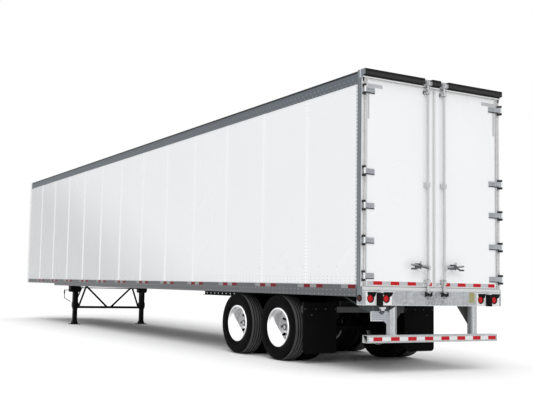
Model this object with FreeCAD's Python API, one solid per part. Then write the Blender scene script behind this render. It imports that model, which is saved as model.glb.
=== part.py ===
import FreeCAD, Part
import math
import os

os.makedirs("parts", exist_ok=True)
V = FreeCAD.Vector

# Fifty-three foot dry-van semi trailer, in millimetres.
# Lengths run forward from the rear face of the rear posts, +Y is left, the ground is Z = 0.

# Whole trailer
body_width = 2591.0
nose = 16066.0
header_top = 4115.0
side_drop = 15.0
deck_top = 1160.0
deck_thickness = 35.0
rail_drop = 138.0
nose_rail_drop = 82.0
rail_step_from_nose = 2750.0
dock_reach = 90.0
overrun = 5.0

# Side walls and rails
panel_thickness = 12.7
rail_skin = 5.5
bottom_rail_rise = 24.0
bottom_flange = 6.0
bottom_flange_width = 100.0
top_rail_height = 175.0
top_flange = 6.0
top_ledge_width = 46.0
top_leg_depth = 70.0
first_joint = 1290.0
nose_panel_width = 1327.4
joint_count = 12
joint_strip_width = 96.0
joint_strip_proud = 2.0
liner_strip_proud = 3.0
nose_leg = 190.0
nose_corner_radius = 60.0
nose_sheet_drop = 2.0
nose_band_proud = 3.0
nose_band_height = 180.0

# Roof
roof_thickness = 3.0
bow_depth = 38.0
last_bow_from_nose = 795.6
bow_count = 25
first_bow = 640.0
bow_crown_width = 60.0
bow_foot_width = 25.0
bow_sheet = 3.0

# Floor
last_beam_from_step = 264.4
first_beam = 250.0
beam_count = 43
beam_flange_width = 57.0
beam_flange = 6.0
beam_web = 5.0
beam_end_gap = 6.0
plank_count = 8
plank_groove = 4.0
deck_side_gap = 22.0

# Rear frame
post_depth = 95.0
post_width = 72.0
post_wall = 6.0
door_stop_width = 16.0
door_stop_start = 60.0
header_height = 110.0
header_face = 20.0
canopy_reach = 65.0
canopy_height = 80.0
canopy_sheet = 5.0
keeper_bay = 145.0
sill_depth = 250.0
sill_sheet = 8.0
sill_face = 20.0
sill_end_inset = 8.0

# Tail lamps, dock blocks and number-plate bracket
lamp_radius = 51.0
lamp_thickness = 30.0
lamp_drop = 158.0
lamp_spacing = 271.0
outer_lamp_inset = 147.5
pocket_half = 76.0
pocket_depth = 48.0
pocket_sheet = 3.0
lamp_set_back = 4.0
lamp_seat_gap = 0.3
marker_radius = 34.0
marker_place = 38.0
marker_bezel = 8.0
dock_block_width = 60.0
dock_block_drop = 80.0
dock_block_height = 170.0
plate_panel_width = 305.0
plate_panel_height = 130.0
plate_panel_inset = 473.5
plate_panel_drop = 81.0
plate_panel_sheet = 4.0
plate_tab_width = 40.0
plate_corner_run = 70.0
plate_corner_drop = 47.0

# Underride guard
guard_end_inset = 95.5
guard_bottom = 408.0
guard_size = 102.0
guard_wall = 5.0
guard_rear = 22.0
guard_post_inset = 547.5
guard_post_width = 120.0
guard_post_depth = 70.0
guard_post_wall = 6.0
gusset_reach = 206.0
gusset_drop = 255.0
gusset_sheet = 8.0

# Rear doors
door_set_back = 6.0
door_thickness = 44.0
door_side_gap = 8.0
door_seam_half = 8.0
door_bottom_gap = 8.0
door_top_gap = 8.0
door_edge_trim = 3.0
door_trim_width = 32.0
hinge_pin_behind = 52.0
hinge_pin_inset = 14.5
hinge_pin_radius = 6.5
hinge_barrel_radius = 13.0
bottom_hinge_rise = 142.0
top_hinge_drop = 173.0
hinge_height_shares = (0.0, 0.188, 0.3735, 0.558, 1.0)
strap_height = 80.0
strap_thickness = 10.0
strap_reach = 205.0
strap_rib_height = 14.0
strap_rib_proud = 5.0
knuckle_gap = 1.0
butt_height = 30.0
butt_pad = 6.0
butt_pad_reach = 46.0
butt_tail_reach = 52.0
butt_tail_drop = 60.0
butt_tail_width = 20.0
pin_play = 0.3

# Lock rods
rod_offset = 152.0
rod_radius = 17.0
rod_behind = 43.0
rod_drop = 114.0
rod_rise = 73.0
bottom_guide_rise = 78.0
top_guide_drop = 73.0
rod_guide_shares = (0.0, 0.507, 1.0)
rod_guide_height = 60.0
rod_guide_half = 42.0
rod_guide_sheet = 6.0
cam_half = 30.0
cam_height = 50.0
cam_rear = 78.0
cam_front = 27.0
keeper_gap = 8.0
keeper_sheet = 8.0
keeper_rear = 80.0
keeper_margin = 14.0
handle_rise = 278.0
handle_reach = 340.0
handle_bar = 38.0
handle_bar_thickness = 10.0
handle_behind = 74.0
handle_lift = 22.0
prong_width = 25.0
upper_prong_lift = 36.0
lower_prong_drop = 20.0
lower_prong_elbow = 90.0
hasp_place = 326.0
hasp_base_half = 26.0
hasp_half_width = 27.0
hasp_rise = 50.0
hasp_fall = 48.0
hasp_proud = 4.0
hasp_loop_radius = 19.0
hasp_loop_hole = 9.0

# Wheels and tyres
tyre_radius = 504.0
tyre_half_width = 137.0
tyre_bead_gap = 0.3
tyre_bead_rise = 13.0
dual_half_spacing = 171.5
track_inset = 311.0
rim_radius = 298.5
rim_half_width = 117.5
rim_flange = 12.0
rim_seat_radius = 286.0
rim_well_radius = 258.0
rim_sheet = 7.0
disc_sheet = 11.0
disc_rise_radius = 240.0
disc_flat_radius = 165.0
disc_rise = 112.0
disc_band = 30.0
hand_hole_radius = 25.0
hand_hole_circle = 202.0
hand_hole_count = 10
stud_circle = 142.9
stud_count = 10
stud_radius = 15.0
stud_length = 26.0
hub_radius = 110.0
hub_flange_radius = 160.0
hub_flange = 16.0
bearing_gap = 0.3
hub_outer_reach = 128.0
cap_radius = 60.0
cap_reach = 164.0
cap_wall = 6.0
drum_radius = 232.0
drum_bore = 212.0
drum_face_inset = 254.5
drum_web = 16.0
drum_shoulder = 122.0
rear_axle = 2052.0
front_axle = 3306.0

# Axles and brakes
axle_radius = 63.5
axle_end_gap = 30.0
spindle_radius = 40.0
spindle_reach = 95.5
shield_radius = 226.0
shield_gap = 14.0
shield_sheet = 5.0
cam_tube_radius = 19.0
cam_tube_ahead = 150.0
cam_tube_inset = 168.0
slack_length = 165.0
slack_thickness = 18.0
slack_width = 46.0
chamber_radius = 82.0
chamber_length = 150.0
chamber_ahead = 210.0
chamber_waist = 10.0
pushrod_radius = 9.0
axle_clamp_radius = 84.0
axle_clamp_width = 40.0

# Sliding bogie
bogie_rail_side_gap = 10.0
bogie_rail_width = 90.0
bogie_rail_height = 218.0
bogie_rail_gap = 20.0
bogie_rail_sheet = 10.0
bogie_rear = 1420.0
bogie_front = 4150.0
slide_pad_length = 220.0
slide_pad_gap = 0.3
slide_pads = (1600.0, 2380.0, 3160.0, 3940.0)
bogie_beams = (1620.0, 2530.0, 3130.0, 3784.0, 4060.0)
bogie_beam_width = 80.0
bogie_beam_height = 160.0
bogie_beam_drop = 28.0
hanger_ahead = 478.0
hanger_foot_rise = 16.0
hanger_length = 190.0
hanger_foot = 110.0
hanger_sheet = 12.0
pivot_rise = 96.0
pivot_radius = 18.0
arm_eye_radius = 46.0
arm_half_width = 26.0
arm_inset = 45.0
arm_depth = 84.0
arm_rise = 148.0
spring_behind = 352.0
spring_radius = 122.0
spring_waist = 100.0
spring_plate = 10.0
flap_bar_rear = 1370.0
flap_bar_depth = 50.0
flap_bar_height = 85.0
flap_bar_drop = 163.0
flap_bar_wall = 5.0
flap_inset = 19.5
flap_width = 610.0
flap_top_rise = 67.0
flap_bottom = 150.0
flap_thickness = 9.5
flap_corner = 60.0
flap_hanger_width = 50.0
tank_radius = 120.0
tank_end_inset = 235.0
tank_place = 2826.0
tank_drop = 130.0
tank_strap_width = 40.0
tank_strap = 5.0

# Slider rails under the floor
slide_web_inset = 720.5
slide_web = 10.0
slide_depth = 93.0
slide_rear = 350.0
slide_front = 5780.0
slide_flange_reach = 70.0
slide_lip_reach = 40.0
slide_hole_radius = 17.0
slide_hole_pitch = 152.4
slide_hole_drop = 53.0
slide_hole_margin = 90.0
slide_hole_count = 20

# Upper coupler and kingpin
coupler_length = 2726.0
coupler_plate_sheet = 8.0
coupler_inset = 110.5
coupler_beams = 9
coupler_beam_width = 60.0
coupler_sheet = 6.0
kingpin_from_nose = 914.4
kingpin_head_radius = 35.7
kingpin_neck_radius = 25.4
kingpin_shoulder = 35.0
kingpin_neck = 30.0
kingpin_head = 18.5
kingpin_seat_gap = 0.3

# Landing gear
leg_from_nose = 3588.0
leg_inset = 329.5
leg_size = 125.0
leg_bottom = 418.0
inner_leg_size = 104.0
foot_half = 125.0
foot_sheet = 14.0
foot_skirt = 70.0
foot_skirt_sheet = 8.0
leg_plate = 10.0
leg_plate_half = 300.0
gearbox_half = 80.0
gearbox_depth = 62.0
gearbox_height = 120.0
gearbox_drop = 28.0
cross_tube_height = 455.0
cross_tube_size = 60.0
brace_width = 50.0
brace_thickness = 8.0
brace_head_inset = 301.0
brace_foot_inset = 34.0
stay_height = 713.0
stay_reach = 300.0
cross_shaft_radius = 12.0
cross_shaft_drop = 56.0
crank_radius = 10.0
crank_drop = 123.0
crank_inset = 23.5
crank_arm = 205.0
crank_grip_inset = 259.5

# Nose fittings
nose_plate_width = 520.0
nose_plate_height = 170.0
nose_plate_sheet = 8.0
nose_plate_rise = 50.0
glad_spacing = 340.0
glad_radius = 36.0
glad_thickness = 26.0
glad_stem_radius = 15.0
glad_stem = 36.0
socket_radius = 34.0
socket_reach = 60.0
socket_lid = 9.0

# Derived places
half_width = body_width / 2.0
outer_lamp = half_width - outer_lamp_inset
inner_lamp = outer_lamp - lamp_spacing
plate_panel_inner = half_width - plate_panel_inset
guard_half_width = half_width - guard_end_inset
guard_post_centre = half_width - guard_post_inset
track_half = half_width - track_inset
drum_inner_face = track_half - drum_face_inset
shield_face = drum_inner_face - shield_gap
axle_end = drum_inner_face - axle_end_gap
spindle_end = track_half + spindle_reach
slide_web_inner = half_width - slide_web_inset
bogie_rail_outer = slide_web_inner - bogie_rail_side_gap
arm_centre = bogie_rail_outer - arm_inset
cam_tube_inner = arm_centre - cam_tube_inset
tank_half_length = bogie_rail_outer - tank_end_inset
flap_outer = half_width - flap_inset
coupler_half_width = half_width - coupler_inset
leg_centre = half_width - leg_inset
brace_head_place = leg_centre - brace_head_inset
crank_out = half_width - crank_inset
crank_grip_end = half_width - crank_grip_inset
side_top = header_top - side_drop
header_bottom = header_top - header_height
canopy_bottom = header_top - canopy_height
top_rail_bottom = side_top - top_rail_height
bottom_rail_top = deck_top + bottom_rail_rise
rail_bottom = deck_top - rail_drop
nose_rail_bottom = deck_top - nose_rail_drop
nose_bottom = nose_rail_bottom - nose_sheet_drop
deck_bottom = deck_top - deck_thickness
beam_bottom = rail_bottom + bottom_flange
nose_beam_bottom = nose_rail_bottom + bottom_flange
rail_step = nose - rail_step_from_nose
coupler_rear = nose - coupler_length
leg_place = nose - leg_from_nose
panel_pitch = (nose - nose_panel_width - first_joint) / (joint_count - 1)
bow_pitch = (nose - last_bow_from_nose - first_bow) / (bow_count - 1)
beam_pitch = (rail_step - last_beam_from_step - first_beam) / (beam_count - 1)
stay_beam = math.floor((leg_place - stay_reach - first_beam) / beam_pitch)
sill_bottom = deck_top - sill_depth
lamp_height = deck_top - lamp_drop
dock_block_top = deck_top - dock_block_drop
dock_block_bottom = dock_block_top - dock_block_height
plate_panel_top = sill_bottom - plate_panel_drop
bottom_hinge = deck_top + bottom_hinge_rise
top_hinge = header_bottom - top_hinge_drop
hinge_heights = [bottom_hinge + share * (top_hinge - bottom_hinge) for share in hinge_height_shares]
rod_bottom = deck_top - rod_drop
rod_top = header_bottom + rod_rise
bottom_guide = deck_top + bottom_guide_rise
top_guide = header_bottom - top_guide_drop
rod_guide_heights = [bottom_guide + share * (top_guide - bottom_guide) for share in rod_guide_shares]
handle_height = deck_top + handle_rise
bogie_rail_top = beam_bottom - bogie_rail_gap
bogie_rail_bottom = bogie_rail_top - bogie_rail_height
bogie_beam_top = bogie_rail_top - bogie_beam_drop
bogie_beam_bottom = bogie_beam_top - bogie_beam_height
flap_bar_top = bogie_rail_top - flap_bar_drop
flap_bar_bottom = flap_bar_top - flap_bar_height
flap_top = flap_bar_top + flap_top_rise
hanger_bottom = tyre_radius + hanger_foot_rise
pivot_height = tyre_radius + pivot_rise
arm_top = tyre_radius + arm_rise
slide_bottom = beam_bottom - slide_depth
slide_hole_height = beam_bottom - slide_hole_drop
gearbox_top = beam_bottom - gearbox_drop
gearbox_bottom = gearbox_top - gearbox_height
cross_shaft_height = beam_bottom - cross_shaft_drop
crank_height = beam_bottom - crank_drop
crank_low = crank_height - crank_arm
nose_plate_bottom = deck_top + nose_plate_rise
panel_outer = half_width - rail_skin
panel_inner = panel_outer - panel_thickness
nose_inner = nose - panel_thickness - rail_skin
nose_side_end = nose - nose_leg
opening_half = half_width - post_width
pin_x = -hinge_pin_behind
pin_y = half_width - hinge_pin_inset
door_front = door_set_back + door_thickness
nose_reach = nose_plate_sheet + glad_stem + glad_radius
centre_x = (nose + nose_reach - dock_reach) / 2.0
def block(x0, x1, y0, y1, z0, z1):
    """A square-cornered piece between two corners."""
    return Part.makeBox(x1 - x0, y1 - y0, z1 - z0, V(x0, y0, z0))


def outline_face(points):
    """A flat face from the points of its outline, in order."""
    return Part.Face(Part.makePolygon(list(points) + [points[0]]))


def section_along_x(points, x0, x1):
    """A rolled section: (y, z) points carried from x0 to x1."""
    return outline_face([V(x0, y, z) for y, z in points]).extrude(V(x1 - x0, 0, 0))


def section_along_y(points, y0, y1):
    """A rolled section: (x, z) points carried from y0 to y1."""
    return outline_face([V(x, y0, z) for x, z in points]).extrude(V(0, y1 - y0, 0))


def section_along_z(points, z0, z1):
    """A rolled section: (x, y) points carried from z0 to z1."""
    return outline_face([V(x, y, z0) for x, y in points]).extrude(V(0, 0, z1 - z0))


def turned_across(points, x, z):
    """A part turned about an axis along Y: (y, radius) points, at place x and height z."""
    face = outline_face([V(x, y, z + r) for y, r in points])
    return face.revolve(V(x, 0, z), V(0, 1, 0), 360)


def turned_upright(points, x, y):
    """A part turned about an upright axis: (z, radius) points."""
    face = outline_face([V(x + r, y, z) for z, r in points])
    return face.revolve(V(x, y, 0), V(0, 0, 1), 360)


def turned_forward(points, y, z):
    """A part turned about an axis along X: (x, radius) points."""
    face = outline_face([V(x, y, z + r) for x, r in points])
    return face.revolve(V(0, y, z), V(1, 0, 0), 360)


def round_bar(start, end, radius):
    """A round bar between two points."""
    run = end - start
    return Part.makeCylinder(radius, run.Length, start, run)


def flat_bar(start, end, width, thickness, face_normal):
    """A flat bar between two points, its broad face turned to face_normal."""
    run = end - start
    along = V(run).normalize()
    across = along.cross(face_normal).normalize()
    normal = across.cross(along).normalize()
    corner = start - across * (width / 2.0) - normal * (thickness / 2.0)
    face = outline_face([corner, corner + across * width,
                         corner + across * width + normal * thickness, corner + normal * thickness])
    return face.extrude(run)


def joined(shapes):
    """One solid from pieces that are welded together."""
    first = shapes[0]
    return first.fuse(shapes[1:]).removeSplitter() if len(shapes) > 1 else first


def mirrored(shape):
    """The same piece on the other side of the trailer."""
    return shape.mirror(V(0, 0, 0), V(0, 1, 0))


def both_sides(shapes):
    """Left-hand pieces and their mirror images."""
    return list(shapes) + [mirrored(shape) for shape in shapes]


def save(name, shapes):
    """Write one named piece, with the trailer's mid length at X = 0."""
    solids = [solid for shape in shapes for solid in shape.Solids]
    whole = solids[0] if len(solids) == 1 else Part.makeCompound(solids)
    whole = whole.copy()
    whole.translate(V(-centre_x, 0, 0))
    whole.exportStep("parts/" + name + ".step")


def floor_deck():
    """Hardwood planks, with a groove at each joint between planks."""
    edge = half_width - deck_side_gap
    pitch = 2.0 * edge / plank_count
    outline = [(-edge, deck_bottom), (edge, deck_bottom), (edge, deck_top)]
    for number in range(plank_count - 1, 0, -1):
        middle = -edge + number * pitch
        outline += [(middle + plank_groove / 2.0, deck_top), (middle, deck_top - plank_groove),
                    (middle - plank_groove / 2.0, deck_top)]
    outline.append((-edge, deck_top))
    deck = section_along_x(outline, post_depth, nose_inner)
    clear = nose_corner_radius
    corner = section_along_z([(nose_inner, edge - clear), (nose_inner, edge), (nose_inner - clear, edge)],
                             deck_bottom, deck_top)
    return deck.cut(corner.fuse(mirrored(corner)))


def i_beam(x, bottom, top):
    """One floor cross member, an I section from rail to rail."""
    half = beam_flange_width / 2.0
    web = beam_web / 2.0
    end = panel_outer - beam_end_gap
    points = [(x - half, bottom), (x + half, bottom), (x + half, bottom + beam_flange),
              (x + web, bottom + beam_flange), (x + web, top - beam_flange), (x + half, top - beam_flange),
              (x + half, top), (x - half, top), (x - half, top - beam_flange),
              (x - web, top - beam_flange), (x - web, bottom + beam_flange),
              (x - half, bottom + beam_flange)]
    return section_along_y(points, -end, end)


def cross_members():
    """The row of floor beams from the rear frame to the coupler."""
    places = [first_beam + number * beam_pitch for number in range(beam_count)]
    return [i_beam(place, beam_bottom, deck_bottom) for place in places]


def bottom_rail_section(low):
    """Outer skin, inward foot for the floor beams and a small ledge under the wall panel."""
    foot_edge = half_width - rail_skin - bottom_flange_width
    return [(half_width, low), (half_width, bottom_rail_top), (panel_outer, bottom_rail_top),
            (panel_outer, deck_bottom + bottom_flange), (panel_inner, deck_bottom + bottom_flange),
            (panel_inner, deck_bottom), (panel_outer, deck_bottom),
            (panel_outer, low + bottom_flange), (foot_edge, low + bottom_flange), (foot_edge, low)]


def bottom_rail():
    """Left bottom rail: full depth behind the step, shallower ahead of it."""
    deep = section_along_x(bottom_rail_section(rail_bottom), post_depth, rail_step)
    shallow = section_along_x(bottom_rail_section(nose_rail_bottom), rail_step, nose_side_end)
    return joined([deep, shallow])


def top_rail():
    """Left top rail: outer skin, ledge for the roof sheet and an inner leg for the bows."""
    ledge_edge = panel_outer - top_ledge_width
    ledge = side_top - top_flange
    points = [(half_width, top_rail_bottom), (half_width, side_top), (ledge_edge, side_top),
              (ledge_edge, ledge - top_leg_depth), (ledge_edge + top_flange, ledge - top_leg_depth),
              (ledge_edge + top_flange, ledge), (panel_outer, ledge), (panel_outer, top_rail_bottom)]
    return section_along_x(points, post_depth, nose_side_end)


def side_wall():
    """Left wall: one long panel with a splice strip inside and out at each joint."""
    low = deck_bottom + bottom_flange
    high = side_top - top_flange
    pieces = [block(post_depth, nose_side_end, panel_inner, panel_outer, low, high)]
    half = joint_strip_width / 2.0
    leg_low = high - top_leg_depth
    for number in range(joint_count):
        middle = first_joint + number * panel_pitch
        pieces.append(block(middle - half, middle + half, panel_outer, panel_outer + joint_strip_proud,
                            bottom_rail_top, top_rail_bottom))
        pieces.append(block(middle - half, middle + half, panel_inner - liner_strip_proud, panel_inner,
                            deck_top, leg_low))
    return joined(pieces)


def front_wall():
    """The nose: a front sheet that turns the two corners in one bend."""
    wall = panel_thickness + rail_skin
    outer = nose_corner_radius
    inner = outer - wall
    y_out, y_in = half_width, half_width - wall
    x_out, x_in = nose, nose - wall
    centre_x_place = nose - outer
    centre_y_place = half_width - outer
    tangent = math.sqrt(0.5)
    z = nose_bottom
    edges = []

    def line(a, b):
        edges.append(Part.LineSegment(V(a[0], a[1], z), V(b[0], b[1], z)).toShape())

    def arc(radius, side, start, end):
        middle = (centre_x_place + radius * tangent, side * (centre_y_place + radius * tangent))
        edges.append(Part.Arc(V(start[0], start[1], z), V(middle[0], middle[1], z),
                              V(end[0], end[1], z)).toShape())

    line((nose_side_end, -y_out), (centre_x_place, -y_out))
    arc(outer, -1, (centre_x_place, -y_out), (x_out, -centre_y_place))
    line((x_out, -centre_y_place), (x_out, centre_y_place))
    arc(outer, 1, (x_out, centre_y_place), (centre_x_place, y_out))
    line((centre_x_place, y_out), (nose_side_end, y_out))
    line((nose_side_end, y_out), (nose_side_end, y_in))
    line((nose_side_end, y_in), (centre_x_place, y_in))
    arc(inner, 1, (centre_x_place, y_in), (x_in, centre_y_place))
    line((x_in, centre_y_place), (x_in, -centre_y_place))
    arc(inner, -1, (x_in, -centre_y_place), (centre_x_place, -y_in))
    line((centre_x_place, -y_in), (nose_side_end, -y_in))
    line((nose_side_end, -y_in), (nose_side_end, -y_out))
    sheet = Part.Face(Part.Wire(edges)).extrude(V(0, 0, side_top - nose_bottom))
    band = nose_band_height
    low_band = block(x_out, x_out + nose_band_proud, -centre_y_place, centre_y_place, z, z + band / 2.0)
    top_band = block(x_out, x_out + nose_band_proud, -centre_y_place, centre_y_place,
                     side_top - band, side_top)
    return joined([sheet, low_band, top_band])


def roof_sheet():
    """One thin sheet from the header to the nose."""
    edge = panel_outer
    return block(post_depth, nose, -edge, edge, side_top, side_top + roof_thickness)


def roof_bows():
    """Pressed hat-section bows under the roof sheet."""
    end = panel_outer - top_ledge_width
    half = bow_crown_width / 2.0
    foot = half + bow_foot_width
    top = side_top
    low = side_top - bow_depth
    sheet = bow_sheet
    bows = []
    for number in range(bow_count):
        x = first_bow + number * bow_pitch
        points = [(x - foot, top), (x - half, top), (x - half + sheet, low + sheet),
                  (x + half - sheet, low + sheet), (x + half, top), (x + foot, top),
                  (x + foot, top - sheet), (x + half + sheet, top - sheet), (x + half, low),
                  (x - half, low), (x - half - sheet, top - sheet), (x - foot, top - sheet)]
        bows.append(section_along_y(points, -end, end))
    return bows


def hinge_butt(height):
    """Fixed half of one hinge: two wedge ears on a pad, and the pin through them."""
    reach = strap_height / 2.0 + knuckle_gap
    ears = []
    face = -butt_pad
    for low in (height + reach, height - reach - butt_height):
        knuckle = Part.makeCylinder(hinge_barrel_radius, butt_height, V(pin_x, pin_y, low))
        web = section_along_z([(face, half_width), (pin_x, pin_y + hinge_barrel_radius),
                               (pin_x - hinge_barrel_radius * math.sqrt(0.5),
                                pin_y - hinge_barrel_radius * math.sqrt(0.5)),
                               (face, pin_y - butt_pad_reach)], low, low + butt_height)
        ears += [knuckle, web]
    pad = block(face, 0, pin_y - butt_pad_reach, half_width, height - reach - butt_height,
                height + reach + butt_height)
    foot = height - reach - butt_height
    tail = outline_face([V(face, pin_y, foot), V(face, pin_y - butt_tail_reach + butt_tail_width,
                                                 foot - butt_tail_drop),
                         V(face, pin_y - butt_tail_reach, foot - butt_tail_drop),
                         V(face, pin_y - butt_tail_width, foot)]).extrude(V(butt_pad, 0, 0))
    pin = Part.makeCylinder(hinge_pin_radius, 2.0 * (reach + butt_height),
                            V(pin_x, pin_y, height - reach - butt_height))
    return ears + [pad, tail, pin]


def rear_post():
    """Left rear post, a folded box with a door stop, and the fixed hinge halves welded to it."""
    wall = post_wall
    inner = opening_half
    box = block(0, post_depth, inner, half_width, deck_top, header_bottom)
    hollow = block(wall, post_depth - wall, inner + wall, half_width - wall, deck_top + wall,
                   header_bottom - wall)
    stop = block(door_stop_start, post_depth, inner - door_stop_width, inner, deck_top, header_bottom)
    pieces = [box.cut(hollow), stop]
    for height in hinge_heights:
        pieces += hinge_butt(height)
    return joined(pieces)


def keeper(side, face, low, high):
    """Two cheeks that hold the end of a lock rod, open to the rear."""
    middle = side * rod_offset
    clear = cam_half + keeper_gap
    cheeks = []
    for edge in (-1, 1):
        near = middle + edge * clear
        far = near + edge * keeper_sheet
        y0, y1 = min(near, far), max(near, far)
        cheeks.append(section_along_y([(-face, low), (-face, high), (-keeper_rear, high - keeper_margin),
                                       (-keeper_rear, low + keeper_margin)], y0, y1))
    return cheeks


def rear_header():
    """Header beam over the doors, with its overhanging cover left open at the two keepers."""
    beam = block(-header_face, post_depth, -half_width, half_width, header_bottom, header_top)
    wall = post_wall
    hollow = block(-header_face + wall, post_depth - wall, -half_width + wall, half_width - wall,
                   header_bottom + wall, header_top - wall)
    pieces = [beam.cut(hollow)]
    half_bay = keeper_bay / 2.0
    cover = [(-header_face, header_top), (-canopy_reach, header_top), (-canopy_reach, canopy_bottom),
             (-canopy_reach + canopy_sheet, canopy_bottom), (-canopy_reach + canopy_sheet,
             header_top - canopy_sheet), (-header_face, header_top - canopy_sheet)]
    spans = [(-half_width, -rod_offset - half_bay), (-rod_offset + half_bay, rod_offset - half_bay),
             (rod_offset + half_bay, half_width)]
    for y0, y1 in spans:
        pieces.append(section_along_y(cover, y0, y1))
        for end in (y0, y1 - canopy_sheet):
            pieces.append(block(-canopy_reach, -header_face, end, end + canopy_sheet,
                                canopy_bottom, header_top))
    for side in (-1, 1):
        pieces += keeper(side, header_face, rod_top - cam_height - keeper_margin, rod_top + keeper_margin)
    return joined(pieces)


def lamp_pocket(middle):
    """A pressed pocket behind the sill face for one round lamp."""
    half = pocket_half
    sheet = pocket_sheet
    low, high = lamp_height - half, lamp_height + half
    outer = block(-sill_face, pocket_depth, middle - half - sheet, middle + half + sheet,
                  low - sheet, high + sheet)
    inner = block(-sill_face - overrun, pocket_depth - sheet, middle - half, middle + half, low, high)
    return outer, inner


def rear_sill():
    """Folded rear sill with four lamp pockets, closed ends and the lower keepers."""
    sheet = sill_sheet
    points = [(-sill_face, sill_bottom), (post_depth, sill_bottom), (post_depth, sill_bottom + sheet),
              (-sill_face + sheet, sill_bottom + sheet), (-sill_face + sheet, deck_top - sheet),
              (post_depth, deck_top - sheet), (post_depth, deck_top), (-sill_face, deck_top)]
    end = half_width - sill_end_inset
    body = section_along_y(points, -end, end)
    shells, hollows = [], []
    for middle in (inner_lamp, outer_lamp, -inner_lamp, -outer_lamp):
        outer, inner = lamp_pocket(middle)
        shells.append(outer)
        hollows.append(inner)
    ends = []
    for side in (-1, 1):
        face = side * end
        y0, y1 = min(face, face - side * sheet), max(face, face - side * sheet)
        ends.append(block(-sill_face, post_depth, y0, y1, sill_bottom, deck_top))
    pieces = [body] + shells + ends
    for side in (-1, 1):
        pieces += keeper(side, sill_face, rod_bottom - keeper_margin,
                         rod_bottom + cam_height + keeper_margin)
    whole = joined(pieces)
    return whole.cut(hollows[0].fuse(hollows[1:]))


def tail_lamps():
    """Round lamps in the sill pockets, and a side marker on each end of the sill."""
    lamps = []
    back = pocket_depth - pocket_sheet - lamp_seat_gap
    rim = lamp_radius
    for middle in (inner_lamp, outer_lamp):
        lens = -sill_face + lamp_set_back
        profile = [(back, 0), (back, rim * 0.8), (lens + lamp_thickness, rim), (lens + rim * 0.2, rim),
                   (lens, rim * 0.85), (lens, 0)]
        lamps.append(turned_forward(profile, middle, lamp_height))
    face = half_width - sill_end_inset
    marker = turned_across([(face, 0), (face, marker_radius), (face + sill_end_inset / 2.0, marker_radius),
                            (half_width, marker_radius - marker_bezel), (half_width, 0)],
                           marker_place, lamp_height)
    lamps.append(marker)
    return both_sides(lamps)


def dock_block():
    """Left rubber dock block, between the two left lamps."""
    middle = (inner_lamp + outer_lamp) / 2.0
    half = dock_block_width / 2.0
    bevel = half / 4.0
    points = [(-sill_face, middle - half), (-dock_reach + bevel, middle - half),
              (-dock_reach, middle - half + bevel), (-dock_reach, middle + half - bevel),
              (-dock_reach + bevel, middle + half), (-sill_face, middle + half)]
    return section_along_z(points, dock_block_bottom, dock_block_top)


def plate_bracket():
    """Left bracket under the sill for a number plate and its lamp."""
    inner, outer = plate_panel_inner + plate_panel_width * 0.05, plate_panel_inner + plate_panel_width
    low = plate_panel_top - plate_panel_height
    sheet = plate_panel_sheet
    points = [V(0, outer, plate_panel_top), V(0, outer, low), V(0, inner + plate_corner_run, low),
              V(0, inner, low - plate_corner_drop), V(0, inner, plate_panel_top)]
    panel = outline_face(points).extrude(V(sheet, 0, 0))
    tabs = [block(0, sheet, y, y + plate_tab_width, plate_panel_top, sill_bottom)
            for y in (inner + plate_tab_width / 2.0, outer - 1.5 * plate_tab_width)]
    lamp_mid = (inner + outer) / 2.0
    half_lamp = plate_tab_width / 2.0
    lamp_bottom, lamp_top = plate_panel_top - sheet, plate_panel_top + half_lamp
    lamp = block(-half_lamp, 0, lamp_mid - half_lamp, lamp_mid + half_lamp, lamp_bottom, lamp_top)
    bridge = block(0, sheet, lamp_mid - plate_tab_width, lamp_mid + plate_tab_width, lamp_bottom, lamp_top)
    return joined([panel, bridge, lamp] + tabs)


def underride_guard():
    """Square tube across the rear, on two channel posts with gussets up to the sill."""
    wall = guard_wall
    tube = block(-guard_rear, guard_size - guard_rear, -guard_half_width, guard_half_width,
                 guard_bottom, guard_bottom + guard_size)
    bore = block(-guard_rear + wall, guard_size - guard_rear - wall, -guard_half_width - overrun,
                 guard_half_width + overrun, guard_bottom + wall, guard_bottom + guard_size - wall)
    pieces = []
    top = guard_bottom + guard_size
    y0, y1 = guard_post_centre - guard_post_width / 2.0, guard_post_centre + guard_post_width / 2.0
    sheet = guard_post_wall
    x0, x1 = -guard_rear + guard_rear / 2.0, -guard_rear / 2.0 + guard_post_depth
    channel = [(x0, y0), (x0, y1), (x1, y1), (x1, y1 - sheet), (x0 + sheet, y1 - sheet),
               (x0 + sheet, y0 + sheet), (x1, y0 + sheet), (x1, y0)]
    post = section_along_z(channel, top, sill_bottom)
    web_x = x1 - gusset_sheet
    gusset = outline_face([V(web_x, y0, sill_bottom), V(web_x, y0 - gusset_reach, sill_bottom),
                           V(web_x, y0, sill_bottom - gusset_drop)]).extrude(V(gusset_sheet, 0, 0))
    pieces += [post, gusset, mirrored(post), mirrored(gusset)]
    return joined([tube.cut(bore)] + pieces)


def door_leaf():
    """Left door: a flat plate-core leaf with a raised trim round its inside edge."""
    y0, y1 = door_seam_half, opening_half - door_side_gap
    z0, z1 = deck_top + door_bottom_gap, header_bottom - door_top_gap
    leaf = block(door_set_back, door_front, y0, y1, z0, z1)
    trim = block(door_front, door_front + door_edge_trim, y0, y1, z0, z1)
    inside = block(door_front - overrun, door_front + door_edge_trim + overrun, y0 + door_trim_width,
                   y1 - door_trim_width, z0 + door_trim_width, z1 - door_trim_width)
    return joined([leaf, trim.cut(inside)])


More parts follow.
